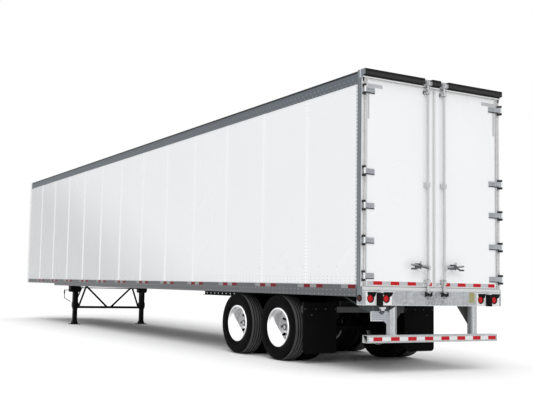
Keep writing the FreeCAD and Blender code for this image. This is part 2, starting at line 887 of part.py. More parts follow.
def hinge_strap(height):
    """Moving half of one hinge: a knuckle and a cranked strap with two pressed ribs."""
    low = height - strap_height / 2.0
    half = strap_thickness / 2.0
    face = door_set_back - strap_thickness
    bend_shares = ((0.0, 0.0), (0.55, 0.62), (0.71, 0.92), (0.71, 1.25))
    line = [(pin_x + ahead * hinge_pin_behind, pin_y - inward * hinge_pin_behind)
            for ahead, inward in bend_shares]
    line += [(face + half, pin_y - 1.6 * hinge_pin_behind), (face + half, pin_y - strap_reach)]
    left, right = [], []
    for number, point in enumerate(line):
        before = line[max(number - 1, 0)]
        after = line[min(number + 1, len(line) - 1)]
        run = V(after[0] - before[0], after[1] - before[1], 0).normalize()
        left.append((point[0] - run.y * half, point[1] + run.x * half))
        right.append((point[0] + run.y * half, point[1] - run.x * half))
    left[-1] = (line[-1][0] + half, line[-1][1])
    left[-2] = (door_set_back, line[-2][1])
    right[-1] = (line[-1][0] - half, line[-1][1])
    right[-2] = (face, line[-2][1])
    strap = section_along_z(left + right[::-1], low, low + strap_height)
    knuckle = Part.makeCylinder(hinge_barrel_radius, strap_height, V(pin_x, pin_y, low))
    ribs = []
    for share in (0.25, 0.75):
        middle = low + share * strap_height
        ribs.append(block(face - strap_rib_proud, face, pin_y - strap_reach * 0.93,
                          line[-2][1] - strap_rib_height,
                          middle - strap_rib_height / 2.0, middle + strap_rib_height / 2.0))
    bore = Part.makeCylinder(hinge_pin_radius + pin_play, strap_height + 2.0 * overrun,
                             V(pin_x, pin_y, low - overrun))
    return joined([strap, knuckle] + ribs).cut(bore)


def flat_link(start, end, width, back, front):
    """Flat bar with round ends, between two places in the plane of the doors."""
    run = V(0, end[0] - start[0], end[1] - start[1]).normalize() * (width / 2.0)
    side = V(0, -run.z, run.y)
    near, far = V(back, start[0], start[1]), V(back, end[0], end[1])
    thickness = front - back
    pieces = [outline_face([near + side, far + side, far - side, near - side]).extrude(V(thickness, 0, 0))]
    for place in (near, far):
        pieces.append(Part.makeCylinder(width / 2.0, thickness, place, V(1, 0, 0)))
    return pieces


def door_handle():
    """Left handle: a flat lever clamped to the rod, its forked end caught by a hasp on the door."""
    y = rod_offset
    front = -handle_behind
    back = front - handle_bar_thickness
    fork = (hasp_place, handle_height + handle_lift)
    tip = y + handle_reach - prong_width / 2.0
    elbow = (hasp_place + lower_prong_elbow, handle_height - lower_prong_drop)
    pieces = flat_link((y, handle_height), fork, handle_bar, back, front)
    pieces += flat_link(fork, (tip, handle_height + upper_prong_lift), prong_width, back, front)
    pieces += flat_link(fork, elbow, prong_width, back, front)
    pieces += flat_link(elbow, (tip, handle_height - lower_prong_drop), prong_width, back, front)
    pieces.append(block(front, -rod_behind, y - rod_radius, y + rod_radius, handle_height - handle_bar,
                        handle_height + handle_bar))
    base = hasp_base_half
    pieces.append(section_along_z([(door_set_back, hasp_place - base), (front, hasp_place - base / 2.0),
                                   (front, hasp_place + base / 2.0), (door_set_back, hasp_place + base)],
                                  fork[1] - hasp_fall * 0.75, fork[1] + hasp_rise * 0.75))
    half = hasp_half_width
    plate_back = back - hasp_proud
    diamond = outline_face([V(plate_back, hasp_place, fork[1] + hasp_rise),
                            V(plate_back, hasp_place - half, fork[1]),
                            V(plate_back, hasp_place, fork[1] - hasp_fall),
                            V(plate_back, hasp_place + half, fork[1])]).extrude(V(2.0 * hasp_proud, 0, 0))
    loop_place = V(plate_back, hasp_place, fork[1] + hasp_rise)
    loop = Part.makeCylinder(hasp_loop_radius, 2.0 * hasp_proud, loop_place, V(1, 0, 0))
    hole = Part.makeCylinder(hasp_loop_hole, 2.0 * hasp_proud, loop_place, V(1, 0, 0))
    return pieces + [diamond.fuse(loop).cut(hole)]


def lock_gear():
    """Left lock rod with its end cams, guides, handle and hasp."""
    x, y = -rod_behind, rod_offset
    rod = Part.makeCylinder(rod_radius, rod_top - rod_bottom, V(x, y, rod_bottom))
    pieces = [rod]
    for low in (rod_bottom, rod_top - cam_height):
        pieces.append(section_along_z([(-cam_front, y - cam_half), (-cam_rear, y - cam_half * 0.6),
                                       (-cam_rear, y + cam_half * 0.6), (-cam_front, y + cam_half)],
                                      low, low + cam_height))
    guides = []
    for middle in rod_guide_heights:
        half = rod_guide_height / 2.0
        outer = x - rod_radius - rod_guide_sheet
        crown = rod_guide_half * 0.6
        guides.append(section_along_z([(door_set_back, y - rod_guide_half), (outer, y - crown),
                                       (outer, y + crown), (door_set_back, y + rod_guide_half)],
                                      middle - half, middle + half))
    return joined(pieces + guides + door_handle())


def tyre_pair(x, side):
    """Two tyres side by side on one hub, as plain turned rings."""
    half = tyre_half_width
    r = tyre_radius
    bead = rim_seat_radius + tyre_bead_gap
    half_bead_share = (rim_half_width - rim_flange - tyre_bead_gap) / half
    sidewall_shares = ((half_bead_share, 0.0), (0.9, 0.21), (1.0, 0.48), (0.97, 0.72), (0.86, 0.92),
                       (0.74, 1.0))
    foot = bead + tyre_bead_rise
    wall = [(share, foot + rise * (r - foot)) for share, rise in sidewall_shares]
    section = [(-share, radius) for share, radius in wall] + wall[::-1]
    section += [(half_bead_share, bead), (-half_bead_share, bead)]
    tyres = []
    for offset in (-dual_half_spacing, dual_half_spacing):
        middle = side * (track_half + offset)
        tyres.append(turned_across([(middle + share * half, radius) for share, radius in section],
                                   x, tyre_radius))
    return tyres


def disc_wheel(x, side, facing):
    """One disc wheel; facing is 1 for the outer wheel and -1 for the inner one."""
    sheet = rim_sheet
    middle = dual_half_spacing
    reach = rim_half_width
    seat = reach - rim_flange
    well = seat * 0.45
    lip = reach * 0.72
    profile = [(middle + reach, rim_radius), (middle + seat, rim_radius), (middle + seat, rim_seat_radius),
               (middle + lip, rim_seat_radius), (middle + well, rim_well_radius),
               (middle - well, rim_well_radius), (middle - lip, rim_seat_radius),
               (middle - seat, rim_seat_radius), (middle - seat, rim_radius), (middle - reach, rim_radius),
               (middle - reach, rim_seat_radius - sheet), (middle - lip, rim_seat_radius - sheet),
               (middle - well, rim_well_radius - sheet), (middle + well, rim_well_radius - sheet),
               (middle + lip, rim_seat_radius - sheet), (middle + reach, rim_seat_radius - sheet)]
    thick = disc_sheet
    weld = rim_well_radius - sheet / 2.0
    disc = [(0, hub_radius), (thick, hub_radius), (thick, disc_flat_radius), (disc_rise, disc_rise_radius),
            (disc_rise + disc_band, disc_rise_radius), (disc_rise + disc_band, weld), (disc_rise, weld),
            (disc_rise - thick * 0.7, disc_rise_radius + thick * 0.8), (0, disc_flat_radius + thick * 0.5)]
    shape = turned_across(placed(profile, side, facing), x, tyre_radius)
    plate = turned_across(placed(disc, side, facing), x, tyre_radius)
    return [shape, plate]


def placed(profile, side, facing):
    """Offsets from the dual centre turned into places across the trailer."""
    return [(side * (track_half + facing * offset), radius) for offset, radius in profile]


def wheel_hub(x, side):
    """Hub, brake drum and oil cap, turned in one with the two disc wheels."""
    bore = spindle_radius + bearing_gap
    inner_face = drum_inner_face - track_half
    flange = -disc_sheet - hub_flange
    hub = [(-disc_sheet, bore), (-disc_sheet, hub_flange_radius), (flange, hub_flange_radius),
           (flange, hub_radius), (inner_face, hub_radius * 0.8), (inner_face, bore)]
    barrel = [(-disc_sheet, bore), (-disc_sheet, hub_radius), (disc_sheet * 2.0, hub_radius),
              (disc_sheet * 4.0, hub_radius * 0.9), (hub_outer_reach, hub_radius * 0.8),
              (hub_outer_reach, bore)]
    cap_seat = hub_radius * 0.8
    cap = [(hub_outer_reach, 0), (hub_outer_reach, cap_seat), (hub_outer_reach + cap_wall, cap_seat),
           (hub_outer_reach + cap_wall * 2.0, cap_radius), (cap_reach - cap_wall, cap_radius * 0.96),
           (cap_reach, cap_radius * 0.72), (cap_reach, 0)]
    shoulder = hub_flange_radius - drum_web
    drum_seat = hub_radius * 0.95
    drum = [(flange, drum_seat), (flange, shoulder), (-drum_shoulder, drum_radius),
            (inner_face, drum_radius), (inner_face, drum_bore), (-drum_shoulder - drum_web, drum_bore),
            (flange - drum_web, shoulder), (flange - drum_web, drum_seat)]
    profiles = (hub, barrel, cap, drum)
    return [turned_across(placed(profile, side, 1), x, tyre_radius) for profile in profiles]


def wheel_pair(x, side):
    """Both disc wheels on their hub, with hand holes and the ring of studs."""
    discs = disc_wheel(x, side, 1) + disc_wheel(x, side, -1)
    discs = discs[0].fuse(discs[1:])
    holes = []
    reach = disc_rise + disc_band
    for number in range(hand_hole_count):
        angle = 2.0 * math.pi * number / hand_hole_count
        spot = V(x + hand_hole_circle * math.cos(angle), side * track_half - reach,
                 tyre_radius + hand_hole_circle * math.sin(angle))
        holes.append(Part.makeCylinder(hand_hole_radius, 2.0 * reach, spot, V(0, 1, 0)))
    studs = []
    for number in range(stud_count):
        angle = 2.0 * math.pi * (number + 0.5) / stud_count
        spot = V(x + stud_circle * math.cos(angle), side * (track_half + disc_sheet),
                 tyre_radius + stud_circle * math.sin(angle))
        studs.append(stud(spot, side))
    return discs.cut(Part.makeCompound(holes)).fuse(wheel_hub(x, side) + studs)


def stud(spot, side):
    """A six-sided wheel nut standing on the disc."""
    points = []
    for number in range(6):
        angle = math.pi / 3.0 * number
        points.append(spot + V(stud_radius * math.cos(angle), 0, stud_radius * math.sin(angle)))
    return outline_face(points).extrude(V(0, side * stud_length, 0))


def axle(x):
    """Round axle tube with its two spindles."""
    spindle = [(-spindle_end, 0), (-spindle_end, spindle_radius), (-axle_end, spindle_radius),
               (-axle_end, axle_radius), (axle_end, axle_radius), (axle_end, spindle_radius),
               (spindle_end, spindle_radius), (spindle_end, 0)]
    return turned_across(spindle, x, tyre_radius)


def brake_gear(x):
    """Left brake of one axle: shield, camshaft, slack adjuster, push rod and air chamber."""
    z = tyre_radius
    bore = axle_radius + pin_play
    collar = axle_clamp_radius
    width = axle_clamp_width
    back = shield_face - shield_sheet
    # The boss of the shield reaches back over the end of the axle tube.
    spindle_bore = spindle_radius + pin_play
    shield = turned_across([(axle_end - width, bore), (axle_end - width, collar), (back, collar),
                            (back, shield_radius), (shield_face, shield_radius), (shield_face, spindle_bore),
                            (axle_end + pin_play, spindle_bore), (axle_end + pin_play, bore)], x, z)
    inner = cam_tube_inner
    clamp = turned_across([(inner, bore), (inner, collar), (inner + width, collar), (inner + width, bore)],
                          x, z)
    cam_x = x + cam_tube_ahead
    arm_y = inner - slack_thickness
    tube_length = back + shield_sheet / 2.0 - arm_y
    tube = Part.makeCylinder(cam_tube_radius, tube_length, V(cam_x, arm_y, z), V(0, 1, 0))
    half = slack_width / 2.0
    slack = outline_face([V(cam_x - half, arm_y, z - half), V(cam_x + half, arm_y, z - half),
                          V(cam_x + half / 2.0, arm_y, z + slack_length),
                          V(cam_x - half / 2.0, arm_y, z + slack_length)]).extrude(V(0, slack_thickness, 0))
    rod_z = z + slack_length * 0.92
    rod_y = arm_y + slack_thickness / 2.0
    chamber_x = x + chamber_ahead
    rod = round_bar(V(cam_x, rod_y, rod_z), V(chamber_x + chamber_waist, rod_y, rod_z), pushrod_radius)
    waist = chamber_radius * 0.9
    end = chamber_x + chamber_length
    middle = (chamber_x + end) / 2.0
    chamber = turned_forward([(chamber_x, 0), (chamber_x, waist * 0.6), (chamber_x + chamber_waist, waist),
                              (middle - chamber_waist, waist), (middle - chamber_waist, chamber_radius),
                              (middle + chamber_waist, chamber_radius), (middle + chamber_waist, waist),
                              (end - chamber_waist, waist), (end, waist * 0.6), (end, 0)], rod_y, rod_z)
    mid_wall = (bore + collar) / 2.0
    lug_y = inner + slack_thickness / 4.0
    lug = outline_face([V(x, lug_y, z + mid_wall), V(x + mid_wall, lug_y, z),
                        V(chamber_x + chamber_waist * 1.5, lug_y, rod_z - waist * 0.5),
                        V(chamber_x + chamber_waist * 1.5, lug_y, rod_z + waist * 0.5)])
    bracket = lug.extrude(V(0, width / 3.0, 0))
    web = cam_tube_radius / 2.0
    arms = [block(x + mid_wall, cam_x, back - width / 2.0, back, z - web, z + web),
            block(x + mid_wall, cam_x, inner + width / 3.0, inner + width, z - web, z + web)]
    hollow = Part.makeCylinder(bore, width + 2.0 * overrun, V(x, inner - overrun, z), V(0, 1, 0))
    return joined([shield, clamp, tube, slack, rod, chamber, bracket] + arms).cut(hollow)


def trailing_arm(x):
    """Left arm of one axle: pivot eye, saddle over the axle tube and a seat for the air spring."""
    y0, y1 = arm_centre - arm_half_width, arm_centre + arm_half_width
    pivot = V(x + hanger_ahead, y0, pivot_height)
    eye = Part.makeCylinder(arm_eye_radius, y1 - y0, pivot, V(0, 1, 0))
    depth = arm_depth
    seat_x = x - spring_behind
    half_seat = spring_waist * 0.95
    saddle_low = tyre_radius - axle_radius * 0.1
    saddle = axle_radius * 1.5
    rise = arm_eye_radius * 0.8
    points = [(x + hanger_ahead, pivot_height + rise), (x + saddle, arm_top), (x - saddle, arm_top),
              (seat_x + half_seat, arm_top - depth * 0.55), (seat_x - half_seat, arm_top - depth * 0.55),
              (seat_x - half_seat, arm_top - depth), (x - saddle * 1.6, arm_top - depth * 1.1),
              (x - saddle, saddle_low), (x + saddle, saddle_low),
              (x + saddle * 1.6, arm_top - depth * 1.1), (x + hanger_ahead, pivot_height - rise)]
    beam = section_along_y(points, y0, y1)
    plate = block(seat_x - spring_waist, seat_x + spring_waist, arm_centre - spring_waist,
                  arm_centre + spring_waist, arm_top - depth * 0.55 - spring_plate, arm_top - depth * 0.55)
    pin_hole = Part.makeCylinder(pivot_radius + pin_play, y1 - y0 + 2.0 * overrun,
                                 pivot - V(0, overrun, 0), V(0, 1, 0))
    axle_hole = Part.makeCylinder(axle_radius + pin_play, y1 - y0 + 2.0 * overrun,
                                  V(x, y0 - overrun, tyre_radius), V(0, 1, 0))
    return joined([beam, eye, plate]).cut(pin_hole.fuse(axle_hole))


def air_spring(x):
    """Left rubber air spring of one axle, between its arm and the bogie rail."""
    low = arm_top - arm_depth * 0.55
    high = bogie_rail_bottom
    height = high - low
    r = spring_radius
    waist = spring_waist
    points = [(low, 0), (low, waist * 0.8), (low + height * 0.2, waist * 0.86), (low + height * 0.3, r),
              (low + height * 0.78, r), (high - height * 0.08, waist), (high, waist), (high, 0)]
    return turned_upright(points, x - spring_behind, arm_centre)


def hanger(x):
    """Left hanger of one axle: two cheeks under the bogie rail and the pivot pin."""
    cheeks = []
    pivot_x = x + hanger_ahead
    half = hanger_length / 2.0
    foot = hanger_foot / 2.0
    inner, outer = bogie_rail_outer - bogie_rail_width, bogie_rail_outer
    for y in (inner, outer - hanger_sheet):
        points = [(pivot_x - half, bogie_rail_bottom), (pivot_x - foot, hanger_bottom),
                  (pivot_x + foot, hanger_bottom), (pivot_x + half, bogie_rail_bottom)]
        cheeks.append(section_along_y(points, y, y + hanger_sheet))
    back = block(pivot_x + foot * 1.15, pivot_x + foot * 1.15 + hanger_sheet, inner, outer,
                 pivot_height + arm_eye_radius * 1.6, bogie_rail_bottom)
    pin = Part.makeCylinder(pivot_radius, outer - inner + 2.0 * hanger_sheet,
                            V(pivot_x, inner - hanger_sheet, pivot_height), V(0, 1, 0))
    return cheeks + [back, pin]


def bogie_frame():
    """Sliding bogie: two channel rails, cross beams, hangers and the mud-flap bar."""
    sheet = bogie_rail_sheet
    outer, inner = bogie_rail_outer, bogie_rail_outer - bogie_rail_width
    low, high = bogie_rail_bottom, bogie_rail_top
    web = outer - sheet
    channel = [(outer, low), (outer, high), (inner, high), (inner, high - sheet),
               (web, high - sheet), (web, low + sheet), (inner, low + sheet), (inner, low)]
    rail = section_along_x(channel, bogie_rear, bogie_front)
    rail_parts = [rail]
    pad_top = beam_bottom - slide_web - slide_pad_gap
    half_pad = slide_pad_length / 2.0
    for x in slide_pads:
        rail_parts.append(block(x - half_pad, x + half_pad, inner, outer, high, pad_top))
    sided = [joined(rail_parts), joined(hanger(rear_axle)), joined(hanger(front_axle))]
    pieces = both_sides(sided)
    half = bogie_beam_width / 2.0
    for x in bogie_beams:
        section = [(x - half, bogie_beam_bottom), (x + half, bogie_beam_bottom),
                   (x + half, bogie_beam_bottom + sheet), (x - half + sheet, bogie_beam_bottom + sheet),
                   (x - half + sheet, bogie_beam_top - sheet), (x + half, bogie_beam_top - sheet),
                   (x + half, bogie_beam_top), (x - half, bogie_beam_top)]
        pieces.append(section_along_y(section, -web, web))
    wall = flap_bar_wall
    x0, x1 = flap_bar_rear, flap_bar_rear + flap_bar_depth
    bar = block(x0, x1, -flap_outer, flap_outer, flap_bar_bottom, flap_bar_top)
    bore = block(x0 + wall, x1 - wall, -flap_outer - overrun, flap_outer + overrun,
                 flap_bar_bottom + wall, flap_bar_top - wall)
    hangers = []
    for place in (flap_outer - flap_hanger_width, flap_outer - flap_width):
        hangers.append(block(x0, x0 + wall, place, place + flap_hanger_width, flap_bar_top, flap_top))
    return [joined([bar.cut(bore)] + both_sides(hangers))] + pieces


def mud_flap():
    """Left rubber mud flap behind the rear tyres, with rounded lower corners."""
    outer, inner = flap_outer, flap_outer - flap_width
    corner = flap_corner
    x = flap_bar_rear - flap_thickness
    turn = corner * (1.0 - math.sqrt(0.5))
    low = flap_bottom

    def spot(y, z):
        return V(x, y, z)

    edges = [Part.LineSegment(spot(outer, flap_top), spot(outer, low + corner)).toShape(),
             Part.Arc(spot(outer, low + corner), spot(outer - turn, low + turn),
                      spot(outer - corner, low)).toShape(),
             Part.LineSegment(spot(outer - corner, low), spot(inner + corner, low)).toShape(),
             Part.Arc(spot(inner + corner, low), spot(inner + turn, low + turn),
                      spot(inner, low + corner)).toShape(),
             Part.LineSegment(spot(inner, low + corner), spot(inner, flap_top)).toShape(),
             Part.LineSegment(spot(inner, flap_top), spot(outer, flap_top)).toShape()]
    return Part.Face(Part.Wire(edges)).extrude(V(flap_thickness, 0, 0))


def air_tank():
    """Air reservoir slung across the bogie on two straps."""
    z = bogie_beam_bottom - tank_drop
    half = tank_half_length
    dome = tank_radius * 0.3
    tank = turned_across([(-half, 0), (-half, tank_radius * 0.6), (-half + dome, tank_radius),
                          (half - dome, tank_radius), (half, tank_radius * 0.6), (half, 0)], tank_place, z)
    pieces = [tank]
    front_face = bogie_beams[2] - bogie_beam_width / 2.0
    rear_face = bogie_beams[1] + bogie_beam_width / 2.0
    ear_top = bogie_beam_bottom + tank_strap_width
    for y in (-half * 0.6, half * 0.6):
        ring = turned_across([(y, tank_radius), (y, tank_radius + tank_strap),
                              (y + tank_strap_width, tank_radius + tank_strap),
                              (y + tank_strap_width, tank_radius)], tank_place, z)
        far = y + tank_strap_width
        bar = block(rear_face, front_face, y, far, z + tank_radius, z + tank_radius + tank_strap)
        ear = block(front_face - tank_strap, front_face, y, far, z + tank_radius, ear_top)
        far_ear = block(rear_face, rear_face + tank_strap, y, far, z + tank_radius, ear_top)
        pieces += [ring, bar, ear, far_ear]
    return joined(pieces)


def slider_rail():
    """Left perforated rail that the bogie slides under and locks to."""
    inner, outer = slide_web_inner, slide_web_inner + slide_web
    top = beam_bottom
    sheet = slide_web
    points = [(outer, top), (inner - slide_flange_reach, top), (inner - slide_flange_reach, top - sheet),
              (inner, top - sheet), (inner, slide_bottom), (outer + slide_lip_reach, slide_bottom),
              (outer + slide_lip_reach, slide_bottom + sheet), (outer, slide_bottom + sheet)]
    rail = section_along_x(points, slide_rear, slide_front)
    holes = []
    for number in range(slide_hole_count):
        x = slide_front - slide_hole_margin - number * slide_hole_pitch
        holes.append(Part.makeCylinder(slide_hole_radius, sheet + 2.0 * overrun,
                                       V(x, inner - overrun, slide_hole_height), V(0, 1, 0)))
    return rail.cut(Part.makeCompound(holes))


def coupler_plate():
    """Upper coupler: bottom plate with shallow cross channels welded on top."""
    low = nose_beam_bottom - coupler_plate_sheet
    kingpin_x = nose - kingpin_from_nose
    plate = block(coupler_rear, nose_inner, -coupler_half_width, coupler_half_width, low, nose_beam_bottom)
    pieces = [plate]
    half = coupler_beam_width / 2.0
    sheet = coupler_sheet
    pitch = (nose_inner - coupler_rear - coupler_beam_width) / (coupler_beams - 1)
    z0, z1 = nose_beam_bottom, deck_bottom
    for number in range(coupler_beams):
        x = coupler_rear + half + number * pitch
        in_corner = x + half > nose - nose_corner_radius
        end = half_width - nose_corner_radius if in_corner else panel_inner - beam_end_gap
        section = [(x - half, z0), (x - half + sheet, z0), (x - half + sheet, z1 - sheet),
                   (x + half - sheet, z1 - sheet), (x + half - sheet, z0), (x + half, z0), (x + half, z1),
                   (x - half, z1)]
        pieces.append(section_along_y(section, -end, end))
    hole = Part.makeCylinder(kingpin_head_radius + kingpin_seat_gap, deck_bottom - low + 2.0 * overrun,
                             V(kingpin_x, 0, low - overrun))
    return joined(pieces).cut(hole)


def kingpin():
    """Turned kingpin: welded base above the plate, shoulder, neck for the jaws, and head."""
    low = nose_beam_bottom - coupler_plate_sheet
    kingpin_x = nose - kingpin_from_nose
    r = kingpin_head_radius
    base_top = deck_bottom - kingpin_seat_gap
    points = [(base_top, 0), (base_top, r), (low - kingpin_shoulder, r),
              (low - kingpin_shoulder, kingpin_neck_radius),
              (low - kingpin_shoulder - kingpin_neck, kingpin_neck_radius),
              (low - kingpin_shoulder - kingpin_neck, r),
              (low - kingpin_shoulder - kingpin_neck - kingpin_head, r),
              (low - kingpin_shoulder - kingpin_neck - kingpin_head, 0)]
    return turned_upright(points, kingpin_x, 0)


def landing_leg():
    """Left landing leg: outer tube, inner tube, foot, gearbox and its plate under the floor."""
    x, y = leg_place, leg_centre
    half, inner = leg_size / 2.0, inner_leg_size / 2.0
    top = beam_bottom
    outer_tube = block(x - half, x + half, y - half, y + half, leg_bottom, top)
    inner_tube = block(x - inner, x + inner, y - inner, y + inner, foot_sheet, leg_bottom)
    foot = block(x - foot_half, x + foot_half, y - foot_half, y + foot_half, 0, foot_sheet)
    skirts = []
    for edge in (y - inner - foot_skirt_sheet, y + inner):
        points = [(x - foot_half, foot_sheet), (x + foot_half, foot_sheet),
                  (x + inner, foot_skirt + foot_sheet), (x - inner, foot_skirt + foot_sheet)]
        skirts.append(section_along_y(points, edge, edge + foot_skirt_sheet))
    plate = block(x - leg_plate_half, x + leg_plate_half, y - half, y + half, top - leg_plate, top)
    gearbox = section_along_y([(x - gearbox_half, gearbox_bottom + gearbox_depth / 3.0),
                               (x - gearbox_half / 2.0, gearbox_bottom),
                               (x + gearbox_half / 2.0, gearbox_bottom),
                               (x + gearbox_half, gearbox_bottom + gearbox_depth / 3.0),
                               (x + gearbox_half, gearbox_top), (x - gearbox_half, gearbox_top)],
                              y + half, y + half + gearbox_depth)
    return joined([outer_tube, inner_tube, foot, plate, gearbox] + skirts)


def landing_braces():
    """Cross tube between the legs, cross shaft, and a W of flat bars up to plates under the floor."""
    x = leg_place
    end = leg_centre - leg_size / 2.0
    size = cross_tube_size / 2.0
    z = cross_tube_height
    top = beam_bottom
    pad = brace_width / 2.0
    tube = block(x - size, x + size, -end, end, z - size, z + size)
    shaft_start = V(x, -end, cross_shaft_height)
    shaft = round_bar(shaft_start, V(x, end, cross_shaft_height), cross_shaft_radius)
    pieces = [tube, shaft]
    for side in (-1, 1):
        y0, y1 = sorted((side * (brace_head_place - pad), side * (brace_head_place + pad)))
        head_plate = block(x - pad, x + pad, y0, y1, top - 2.0 * brace_thickness, top)
        head = V(x, side * brace_head_place, top - brace_thickness)
        held = [tube, shaft, head_plate]
        for foot_place in (brace_width, end - brace_foot_inset):
            foot = V(x, side * foot_place, z)
            bar = flat_bar(foot, head, brace_width, brace_thickness, V(1, 0, 0)).cut(held)
            held.append(bar)
            pieces.append(bar)
        pieces.append(head_plate)
    return pieces


def leg_stay():
    """Left stay from the inner face of the leg, back and up to a floor beam."""
    y = leg_centre - (leg_size + brace_thickness) / 2.0
    beam = first_beam + stay_beam * beam_pitch
    head_top = beam_bottom - 2.0 * brace_thickness
    bar = flat_bar(V(leg_place, y, stay_height), V(beam, y, head_top - brace_thickness),
                   brace_width, brace_thickness, V(0, 1, 0))
    half = beam_flange_width / 2.0
    pad = block(beam - half, beam + half, y - brace_width, y + brace_thickness / 2.0, head_top, beam_bottom)
    return joined([bar, pad])


def crank_handle():
    """Folding crank on the left gearbox, hung down beside the leg."""
    x = leg_place
    start = V(x, leg_centre + leg_size / 2.0 + gearbox_depth, crank_height)
    elbow = V(x, crank_out, crank_height)
    knee = V(x, crank_out, crank_low)
    tip = V(x, crank_grip_end + leg_size / 2.0, crank_low - (crank_height - crank_low) / 2.0)
    pieces = [round_bar(start, elbow, crank_radius), Part.makeSphere(crank_radius, elbow),
              round_bar(elbow, knee, crank_radius), Part.makeSphere(crank_radius, knee),
              round_bar(knee, tip, crank_radius)]
    return joined(pieces)


def nose_fittings():
    """Plate on the nose with two air couplings and the electric socket."""
    face = nose
    low = nose_plate_bottom
    half = nose_plate_width / 2.0
    plate = block(face, face + nose_plate_sheet, -half, half, low, low + nose_plate_height)
    front = face + nose_plate_sheet
    middle = low + nose_plate_height / 2.0
    pieces = [plate]
    for side in (-1, 1):
        y = side * glad_spacing / 2.0
        stem = Part.makeCylinder(glad_stem_radius, glad_stem, V(front, y, middle), V(1, 0, 0))
        head_x = front + glad_stem
        head = Part.makeCylinder(glad_radius, glad_thickness, V(head_x, y - glad_thickness / 2.0, middle),
                                 V(0, 1, 0))
        pieces += [stem, head]
    lid = front + socket_reach - socket_lid
    lid_radius = socket_radius + socket_lid
    socket = turned_forward([(front, 0), (front, socket_radius), (lid, socket_radius), (lid, lid_radius),
                             (front + socket_reach, lid_radius), (front + socket_reach, 0)], 0, middle)
    return joined(pieces + [socket])


save("floor_deck", [floor_deck()])
save("cross_members", cross_members())
left_rail = bottom_rail()
save("bottom_rail_left", [left_rail])
save("bottom_rail_right", [mirrored(left_rail)])
left_wall = side_wall()
save("side_wall_left", [left_wall])
save("side_wall_right", [mirrored(left_wall)])
left_top = top_rail()
save("top_rail_left", [left_top])
save("top_rail_right", [mirrored(left_top)])
save("front_wall", [front_wall()])
save("roof_sheet", [roof_sheet()])
save("roof_bows", roof_bows())
left_post = rear_post()
save("rear_post_left", [left_post])
save("rear_post_right", [mirrored(left_post)])
save("rear_header", [rear_header()])
save("rear_sill", [rear_sill()])
save("tail_lamps", tail_lamps())
left_block = dock_block()
save("dock_block_left", [left_block])
save("dock_block_right", [mirrored(left_block)])
save("plate_bracket", [plate_bracket()])
save("underride_guard", [underride_guard()])
save("coupler_plate", [coupler_plate()])
save("kingpin", [kingpin()])
left_leg = landing_leg()
save("landing_leg_left", [left_leg])
save("landing_leg_right", [mirrored(left_leg)])
save("landing_braces", landing_braces() + both_sides([leg_stay()]))
save("landing_crank", [crank_handle()])
save("slider_rails", both_sides([slider_rail()]))
save("nose_fittings", [nose_fittings()])

save("bogie_frame", bogie_frame())
save("trailing_arms", both_sides([trailing_arm(rear_axle), trailing_arm(front_axle)]))
save("air_springs", both_sides([air_spring(rear_axle), air_spring(front_axle)]))
save("axles", [axle(rear_axle), axle(front_axle)])
save("brake_gear", both_sides([brake_gear(rear_axle), brake_gear(front_axle)]))
save("air_tank", [air_tank()])
save("mud_flaps", both_sides([mud_flap()]))

for place, axle_x in (("rear", rear_axle), ("front", front_axle)):
    for hand, side in (("left", 1), ("right", -1)):
        save("tyres_" + place + "_" + hand, tyre_pair(axle_x, side))
        save("wheel_" + place + "_" + hand, [wheel_pair(axle_x, side)])

left_door = door_leaf()
left_straps = [hinge_strap(height) for height in hinge_heights]
left_gear = lock_gear()
save("door_left", [left_door])
save("door_right", [mirrored(left_door)])
save("hinge_straps_left", left_straps)
save("hinge_straps_right", [mirrored(strap) for strap in left_straps])
save("lock_rod_left", [left_gear])
save("lock_rod_right", [mirrored(left_gear)])
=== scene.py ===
import math
import bmesh
import bpy
import numpy as np
from mathutils import Matrix, Vector


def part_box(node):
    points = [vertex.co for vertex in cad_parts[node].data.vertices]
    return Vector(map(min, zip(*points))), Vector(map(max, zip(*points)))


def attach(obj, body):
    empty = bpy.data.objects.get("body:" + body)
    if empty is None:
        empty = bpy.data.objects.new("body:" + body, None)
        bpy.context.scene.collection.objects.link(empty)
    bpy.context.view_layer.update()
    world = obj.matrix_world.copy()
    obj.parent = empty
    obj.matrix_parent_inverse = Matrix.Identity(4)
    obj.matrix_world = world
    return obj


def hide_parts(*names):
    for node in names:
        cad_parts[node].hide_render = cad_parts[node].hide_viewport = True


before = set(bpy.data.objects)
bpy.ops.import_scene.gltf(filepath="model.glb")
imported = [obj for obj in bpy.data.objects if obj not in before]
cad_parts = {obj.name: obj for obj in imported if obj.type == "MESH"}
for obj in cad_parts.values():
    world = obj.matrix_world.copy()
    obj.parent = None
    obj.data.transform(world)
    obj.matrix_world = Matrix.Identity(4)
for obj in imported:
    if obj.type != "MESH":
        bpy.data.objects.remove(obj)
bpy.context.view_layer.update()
print("frame loaded:", len(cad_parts), "nodes")


# places read from the frame

def boxOf(node):
    low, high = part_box(node)
    return np.array(low), np.array(high)


